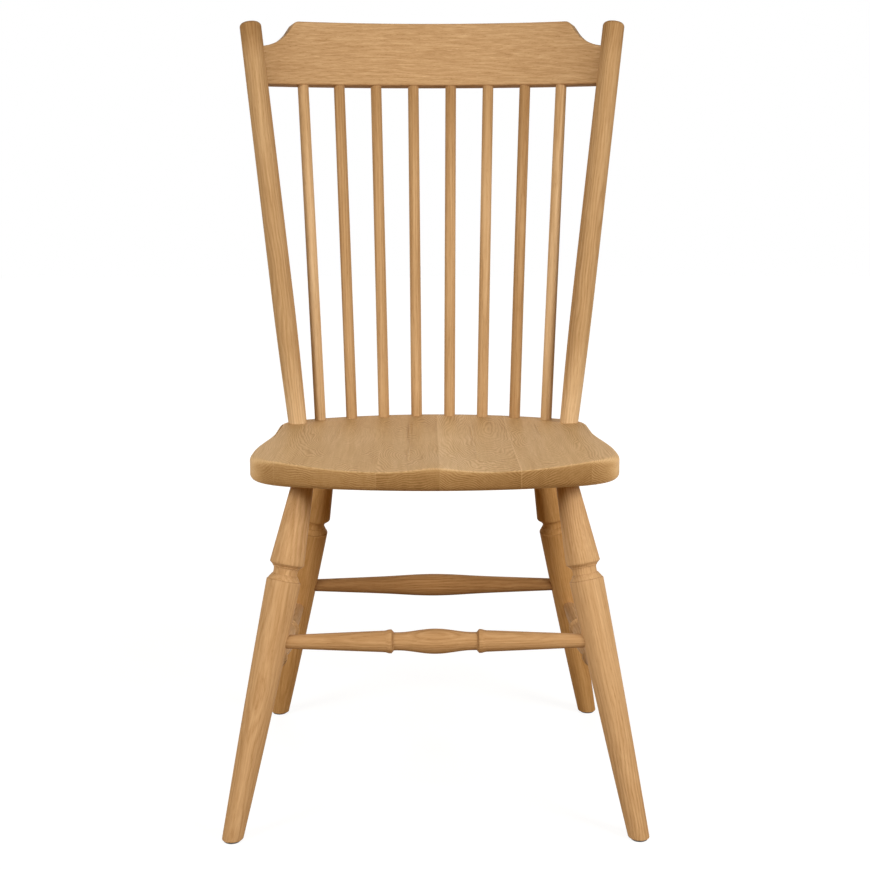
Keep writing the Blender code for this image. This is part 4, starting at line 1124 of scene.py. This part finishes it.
def post_axis(side):
    """Where a post's axis meets the seat's top, and its top end."""
    back, seat = bpy.context.scene.chair_back, bpy.context.scene.chair_seat
    base = (back.post_base_x * side, back.post_base_y + SEAT_MIDDLE_Y, seat_top(seat, back.post_base_y))
    top = (back.post_top_x * side, back.post_top_y + SEAT_MIDDLE_Y, back.post_top_height)
    return np.array(base), np.array(top)


def post_outline(back, length):
    """Sine taper up to the full radius, a straight shaft, a rounded top arris and a shallow dome."""
    taper = np.linspace(0.0, back.post_taper, 50)
    grown = back.post_base_radius + (back.post_radius - back.post_base_radius) * np.sin(
        taper / back.post_taper * math.pi / 2)
    arris = length - back.post_crown - back.post_rounding
    cap = back.post_radius - back.post_rounding
    shaft = np.linspace(back.post_taper, arris, 60)
    dome = np.linspace(1.0, 0.08, 14)
    return outline_of(
        (-JOINT_REACH, back.post_base_radius),
        np.stack([taper, grown], axis=-1),
        np.stack([shaft, np.full(len(shaft), back.post_radius)], axis=-1),
        quarter((arris, back.post_radius), (length - back.post_crown, cap), 14, True),
        np.stack([length - back.post_crown * dome**2, cap * dome], axis=-1),
    )


class BuildPosts(bpy.types.Operator):
    """Makes the two back posts with domed tops"""

    bl_idname = "windsor.build_posts"
    bl_label = "Posts"

    def execute(self, context):
        back = context.scene.chair_back
        material = turned_oak("post oak", context.scene.chair_oak.post)
        generator = np.random.default_rng(RANDOM_SEED + 3)
        for hand, side, painted_top_shade in (("left", -1, 0.34), ("right", 1, 0.18)):
            base, top = post_axis(side)
            length = np.linalg.norm(top - base)
            # Painted shade towards the top, and paler towards the seat
            painted_shading = ((painted_top_shade, length - 0.06, length - 0.01), (-0.34, 0.12, 0.0))
            heart, own_and_painted_shade = heart_of(generator, LEG_HEART), generator.uniform(-0.01, 0.02)
            post = turning(f"oak_post_{hand}", base, top, post_outline(back, length), LEG_POINTS,
                           heart, own_and_painted_shade, painted_shading=painted_shading)
            dress(post, material, "oak_turned", f"post_{hand}")
        return {"FINISHED"}


def rail_bottom():
    """Height of the rail's bottom edge."""
    return bpy.context.scene.chair_back.post_top_height - bpy.context.scene.chair_rail.below_tops


def rail_meeting():
    """Where the rail's middle surface ends: on the right post's axis, halfway up its end."""
    base, top = post_axis(1)
    height = rail_bottom() + bpy.context.scene.chair_rail.end_rise / 2
    return base + (top - base) * ((height - base[2]) / (top[2] - base[2]))


def rail_surface(x, rise, across):
    """Points of the rail: its bowed and leaning middle surface, then across along its normal.

    y = y0 - (R - sqrt(R^2 - x^2)) + rise tan(lean), with the normal (x / sqrt(R^2 - x^2), 1, -tan(lean)).
    """
    rail = bpy.context.scene.chair_rail
    meeting, lean = rail_meeting(), math.tan(rail.lean)
    y0 = meeting[1] + arc_drop(rail.bow_radius, meeting[0]) - rail.end_rise / 2 * lean
    x, rise = np.broadcast_arrays(np.asarray(x, float), rise)
    point = np.stack([x, y0 - arc_drop(rail.bow_radius, x) + rise * lean, rail_bottom() + rise], axis=-1)
    slope = x / np.sqrt(rail.bow_radius**2 - x**2)
    normal = unit(np.stack([slope, np.ones_like(slope), np.full_like(slope, -lean)], axis=-1))
    return point + normal * np.asarray(across)[..., None]


def rail_top_edge(rail):
    """The top edge's right half as (x, rise): crown, small round, slope, wide hollow and level end."""
    end_x = rail_meeting()[0]
    crown_end = end_x - rail.shoulder_span
    turns = np.linspace(0.0, rail.shoulder_slope, 14)
    upper, lower = rail.shoulder_top_radius, rail.shoulder_foot_radius
    crown = np.stack([np.linspace(0.0, crown_end, 70), np.full(70, rail.rise)], axis=-1)
    round_over = np.stack([crown_end + upper * np.sin(turns),
                           rail.rise - upper * (1 - np.cos(turns))], axis=-1)
    drop = rail.rise - rail.end_rise - (upper + lower) * (1 - math.cos(rail.shoulder_slope))
    foot_x = (round_over[-1, 0] + drop / math.tan(rail.shoulder_slope)
              + lower * math.sin(rail.shoulder_slope))
    hollow_turns = np.linspace(rail.shoulder_slope, 0.0, 26)
    hollow = np.stack([foot_x - lower * np.sin(hollow_turns),
                       rail.end_rise + lower * (1 - np.cos(hollow_turns))], axis=-1)
    end = np.stack([np.linspace(foot_x, end_x, 6), np.full(6, rail.end_rise)], axis=-1)
    return outline_of(crown, round_over, hollow, end)


def rounded_section(half, ease):
    """Across, rise and share of the height for points round a rectangle with rounded corners.

    A point lies at rise + share * height above the bottom edge. The corners are quarter circles.
    """
    quarter_turn = np.linspace(0.0, math.pi / 2, 7)
    face = np.linspace(0.0, 1.0, 14)[1:-1]
    corners = []
    for turn, side, share in ((-math.pi / 2, 1, 0), (0.0, 1, 1), (math.pi / 2, -1, 1), (math.pi, -1, 0)):
        angles = turn + quarter_turn
        corners.append(np.stack([
            side * (half - ease) + ease * np.cos(angles),
            ease * (1 - 2 * share) + ease * np.sin(angles),
            np.full(len(angles), share),
        ], axis=-1))
    wall = np.stack([np.full(len(face), half), ease * (1 - 2 * face), face], axis=-1)
    return np.concatenate([corners[0], wall, corners[1], corners[2], wall[::-1] * (-1, 1, 1), corners[3]])


def rail_figure(offset):
    """The rail's figure: level years, (rise + across / 2 + (along / 1.5)^2) / 2.2 w.

    It is darker at its ends.
    """
    ring_width = bpy.context.scene.chair_oak.ring_width

    def figure(billet, ending):
        across, rise, along = billet[:, 0], billet[:, 1], billet[:, 2] - offset
        years = (rise + across / 2 + (along / 1.5) ** 2) / (2.2 * ring_width)
        shade = 0.10 * smooth_step((np.abs(along) - 0.20) / 0.04)
        return np.stack([years, years, shade], axis=-1)

    return figure


def rail_shell(name, offset):
    """The rail: its rounded section carried along the bow, under the shaped top edge."""
    rail = bpy.context.scene.chair_rail
    right = rail_top_edge(rail)
    stations = np.concatenate([right[:0:-1] * (-1.0, 1.0), right])
    across, lift, share = rounded_section(rail.thickness / 2, rail.edge_rounding).T
    x, height = stations[:, :1], stations[:, 1:]
    rise = lift + height * share
    rows = rail_surface(x, rise, np.broadcast_to(across, rise.shape))
    along = np.broadcast_to(rail.bow_radius * np.arcsin(x / rail.bow_radius), rise.shape)
    billet = np.stack([np.broadcast_to(across, rise.shape), rise, along + offset], axis=-1)
    middle = height[0, 0] / 2
    poles = [rail_surface(place, middle, 0.0) for place in (x[0, 0], x[-1, 0])]
    billet_poles = [(0.0, middle, place + offset) for place in (along[0, 0], along[-1, 0])]
    bow = np.concatenate([np.broadcast_to(x, rise.shape).ravel(), x[0], x[-1]]) / rail.bow_radius
    tangent = np.stack([np.sqrt(1.0 - bow**2), -bow, np.zeros_like(bow)], axis=-1)
    return closed_shell(name, rows, poles, billet, billet_poles, tangent, rail_figure(offset))


class BuildCrestRail(bpy.types.Operator):
    """Makes the bowed crest rail with its stepped shoulders"""

    bl_idname = "windsor.build_crest_rail"
    bl_label = "Crest Rail"

    def execute(self, context):
        rail = rail_shell("oak_crest_rail", RAIL_OFFSET)
        dress(rail, rail_oak(), "oak_rail", "crest_rail")
        return {"FINISHED"}


def spindle_axis(number):
    """Where a spindle's axis meets the seat's top and the rail's bottom, counted from the left."""
    back, seat, rail = (bpy.context.scene.chair_back, bpy.context.scene.chair_seat,
                        bpy.context.scene.chair_rail)
    step = number - (back.spindle_count - 1) / 2
    seat_x = back.arc_radius * math.sin(step * back.seat_pitch / back.arc_radius)
    seat_y = back.arc_back_y - arc_drop(back.arc_radius, seat_x)
    base = np.array((seat_x, seat_y + SEAT_MIDDLE_Y, seat_top(seat, seat_y)))
    rail_x = rail.bow_radius * math.sin(step * back.rail_pitch / rail.bow_radius)
    return base, rail_surface(rail_x, 0.0, 0.0)


# How dark each spindle is, from the left: partly its own tone, partly painted shade on the inner spindles
# and painted light on the outer ones
SPINDLE_TONE_AND_SHADE = (-0.09, 0.23, 0.19, 0.17, 0.18, 0.12, 0.31, -0.10)


class BuildSpindles(bpy.types.Operator):
    """Makes the straight round spindles between the seat and the crest rail"""

    bl_idname = "windsor.build_spindles"
    bl_label = "Spindles"

    def execute(self, context):
        back = context.scene.chair_back
        material = spindle_oak()
        generator = np.random.default_rng(RANDOM_SEED + 4)
        for number in range(back.spindle_count):
            base, head = spindle_axis(number)
            length = np.linalg.norm(head - base)
            places = np.linspace(-JOINT_REACH, length + JOINT_REACH, 90)
            outline = np.stack([places, np.full(len(places), back.spindle_radius)], axis=-1)
            own_and_painted_shade = SPINDLE_TONE_AND_SHADE[number % len(SPINDLE_TONE_AND_SHADE)]
            # Painted shade, darker towards the rail and the seat
            painted_shading = ((0.22, length - 0.16, length), (0.10, 0.04, 0.0))
            spindle = turning(f"oak_spindle_{number + 1}", base, head, outline, SPINDLE_POINTS,
                              heart_of(generator, SPINDLE_HEART), own_and_painted_shade, painted_shading=painted_shading)
            dress(spindle, material, "oak_spindle", f"spindle_{number + 1}")
        return {"FINISHED"}


# The stage

WHITE = (1.0, 1.0, 1.0, 1.0)


def look_along(stage):
    """The camera's axes as a matrix: right, up and backwards, from its yaw, pitch and roll."""
    yaw, pitch, roll = stage.camera_yaw, stage.camera_pitch, stage.camera_roll
    ahead = Vector((math.sin(yaw) * math.cos(pitch), math.cos(yaw) * math.cos(pitch), -math.sin(pitch)))
    level = Vector((math.cos(yaw), -math.sin(yaw), 0.0))
    upward = level.cross(ahead)
    right = level * math.cos(roll) + upward * math.sin(roll)
    top = upward * math.cos(roll) - level * math.sin(roll)
    return Matrix((right, top, -ahead)).transposed()


def set_camera(stage):
    """The photograph's camera: a plain lens well above the seat, looking a little down."""
    lens = bpy.data.cameras.new("camera")
    lens.lens = stage.lens_mm
    lens.sensor_width = 36.0
    camera = bpy.data.objects.new("camera", lens)
    place = Vector((stage.camera_x, SEAT_MIDDLE_Y - stage.camera_before_middle, stage.camera_height))
    camera.matrix_world = Matrix.Translation(place) @ look_along(stage).to_4x4()
    bpy.context.scene.collection.objects.link(camera)
    bpy.context.scene.camera = camera


def area_light(name, place, target, width, height, power):
    """A softbox that faces a target."""
    light = bpy.data.lights.new(name, "AREA")
    light.shape = "RECTANGLE"
    light.size, light.size_y = width, height
    light.energy = power
    lamp = bpy.data.objects.new(name, light)
    lamp.location = place
    lamp.rotation_euler = (Vector(target) - Vector(place)).to_track_quat("-Z", "Y").to_euler()
    bpy.context.scene.collection.objects.link(lamp)


def show_by_ray(w, lit, seen, output_kind):
    """Ends a tree in two shaders: one that lights the chair, and one for rays that see it directly.

    Those are the camera's rays, and the ones that come by way of a gloss or a glass.
    """
    path = w.add("LightPath").outputs
    bent = w.math("MAXIMUM", path["Is Glossy Ray"], path["Is Transmission Ray"])
    direct = w.math("MAXIMUM", path["Is Camera Ray"], bent)
    chosen = w.add("MixShader", direct, lit.outputs[0], seen.outputs[0])
    w.add(output_kind, chosen.outputs[0])


def floor_material():
    """White paper: a camera sees it nearly as bright as the backdrop, with a faint shadow left on it."""
    material, w = new_material("white floor")
    w.tree.nodes.clear()
    paper = w.add("BsdfDiffuse", Color=(0.30, 0.20, 0.09, 1.0))
    faint = w.add("BsdfDiffuse", Color=(0.20, 0.20, 0.20, 1.0))
    from_middle = w.vector("LENGTH", w.add("TexCoord").outputs["Object"])
    glow = w.add("Emission", Color=WHITE, Strength=w.remap(from_middle, 0.5, 1.6, 0.88, 1.0))
    bright = w.add("AddShader", faint.outputs[0], glow.outputs[0])
    show_by_ray(w, paper, bright, "OutputMaterial")
    return material


def set_world():
    """A white backdrop where it is seen, and a dim even light where it falls on the chair."""
    world = bpy.data.worlds.new("studio")
    world.use_nodes = True
    world.node_tree.nodes.clear()
    w = Wiring(world.node_tree)
    backdrop = w.add("Background", Color=WHITE)
    room = w.add("Background", Color=(1.0, 0.69, 0.28, 1.0), Strength=0.14)
    show_by_ray(w, room, backdrop, "OutputWorld")
    bpy.context.scene.world = world


# Each softbox: its name, its place, what it faces, its width and height, and its power in watts
SOFTBOXES = (
    ("overhead softbox", (0.0, -0.5, 3.4), (0.0, 0.0, 0.45), 1.6, 1.6, 5.0),
    ("back softbox", (0.0, 2.1, 1.9), (0.0, 0.1, 0.55), 1.6, 1.0, 18.0),
    ("front softbox", (0.0, -2.05, 1.36), (0.0, 0.0, 0.42), 1.4, 0.5, 11.0),
    ("left softbox", (-1.72, -1.44, 1.26), (0.0, 0.0, 0.45), 0.9, 0.7, 29.0),
    ("right softbox", (1.72, -1.44, 1.26), (0.0, 0.0, 0.45), 0.9, 0.7, 38.0),
)


class SetStage(bpy.types.Operator):
    """Sets the floor, backdrop, lights and camera"""

    bl_idname = "windsor.set_stage"
    bl_label = "Stage"

    def execute(self, context):
        stage = context.scene.chair_stage
        half = stage.floor_size / 2
        mesh = bpy.data.meshes.new("floor")
        corners = np.array(((-1, -1, 0), (1, -1, 0), (1, 1, 0), (-1, 1, 0))) * half
        mesh.from_pydata(corners, [], [(0, 1, 2, 3)])
        mesh.materials.append(floor_material())
        floor = bpy.data.objects.new("floor", mesh)
        context.scene.collection.objects.link(floor)
        set_world()
        for softbox in SOFTBOXES:
            area_light(*softbox)
        set_camera(stage)
        context.scene.view_settings.view_transform = "Standard"
        return {"FINISHED"}


OPERATORS = (
    BuildSeat, BuildLegs, BuildGlides, BuildStretchers, BuildPosts, BuildSpindles, BuildCrestRail,
    SetStage,
)


class ChairPanel(bpy.types.Panel):
    """Lists the chair's pieces and the sizes and colours that can be changed"""

    bl_idname = "VIEW3D_PT_windsor_chair"
    bl_label = "Windsor Side Chair"
    bl_space_type = "VIEW_3D"
    bl_region_type = "UI"
    bl_category = "Windsor Chair"

    def draw(self, context):
        for operator in OPERATORS:
            self.layout.operator(operator.bl_idname)
        for group in SIZE_GROUPS:
            box = self.layout.box()
            box.label(text=group.replace("_", " ").title())
            settings = getattr(context.scene, group)
            for key in settings.bl_rna.properties.keys():
                if key not in ("rna_type", "name"):
                    box.prop(settings, key)


def register():
    for cls in (*SIZE_GROUPS.values(), *OPERATORS, ChairPanel):
        bpy.utils.register_class(cls)
    for name, cls in SIZE_GROUPS.items():
        setattr(bpy.types.Scene, name, PointerProperty(type=cls))


def unregister():
    for name in SIZE_GROUPS:
        delattr(bpy.types.Scene, name)
    for cls in reversed((*SIZE_GROUPS.values(), *OPERATORS, ChairPanel)):
        bpy.utils.unregister_class(cls)


def write_sizes():
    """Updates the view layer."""
    bpy.context.view_layer.update()


def main():
    register()
    bpy.ops.windsor.build_seat()
    bpy.ops.windsor.build_legs()
    bpy.ops.windsor.build_glides()
    bpy.ops.windsor.build_stretchers()
    bpy.ops.windsor.build_posts()
    bpy.ops.windsor.build_spindles()
    bpy.ops.windsor.build_crest_rail()
    bpy.ops.windsor.set_stage()
    write_sizes()


if __name__ == "__main__":
    main()
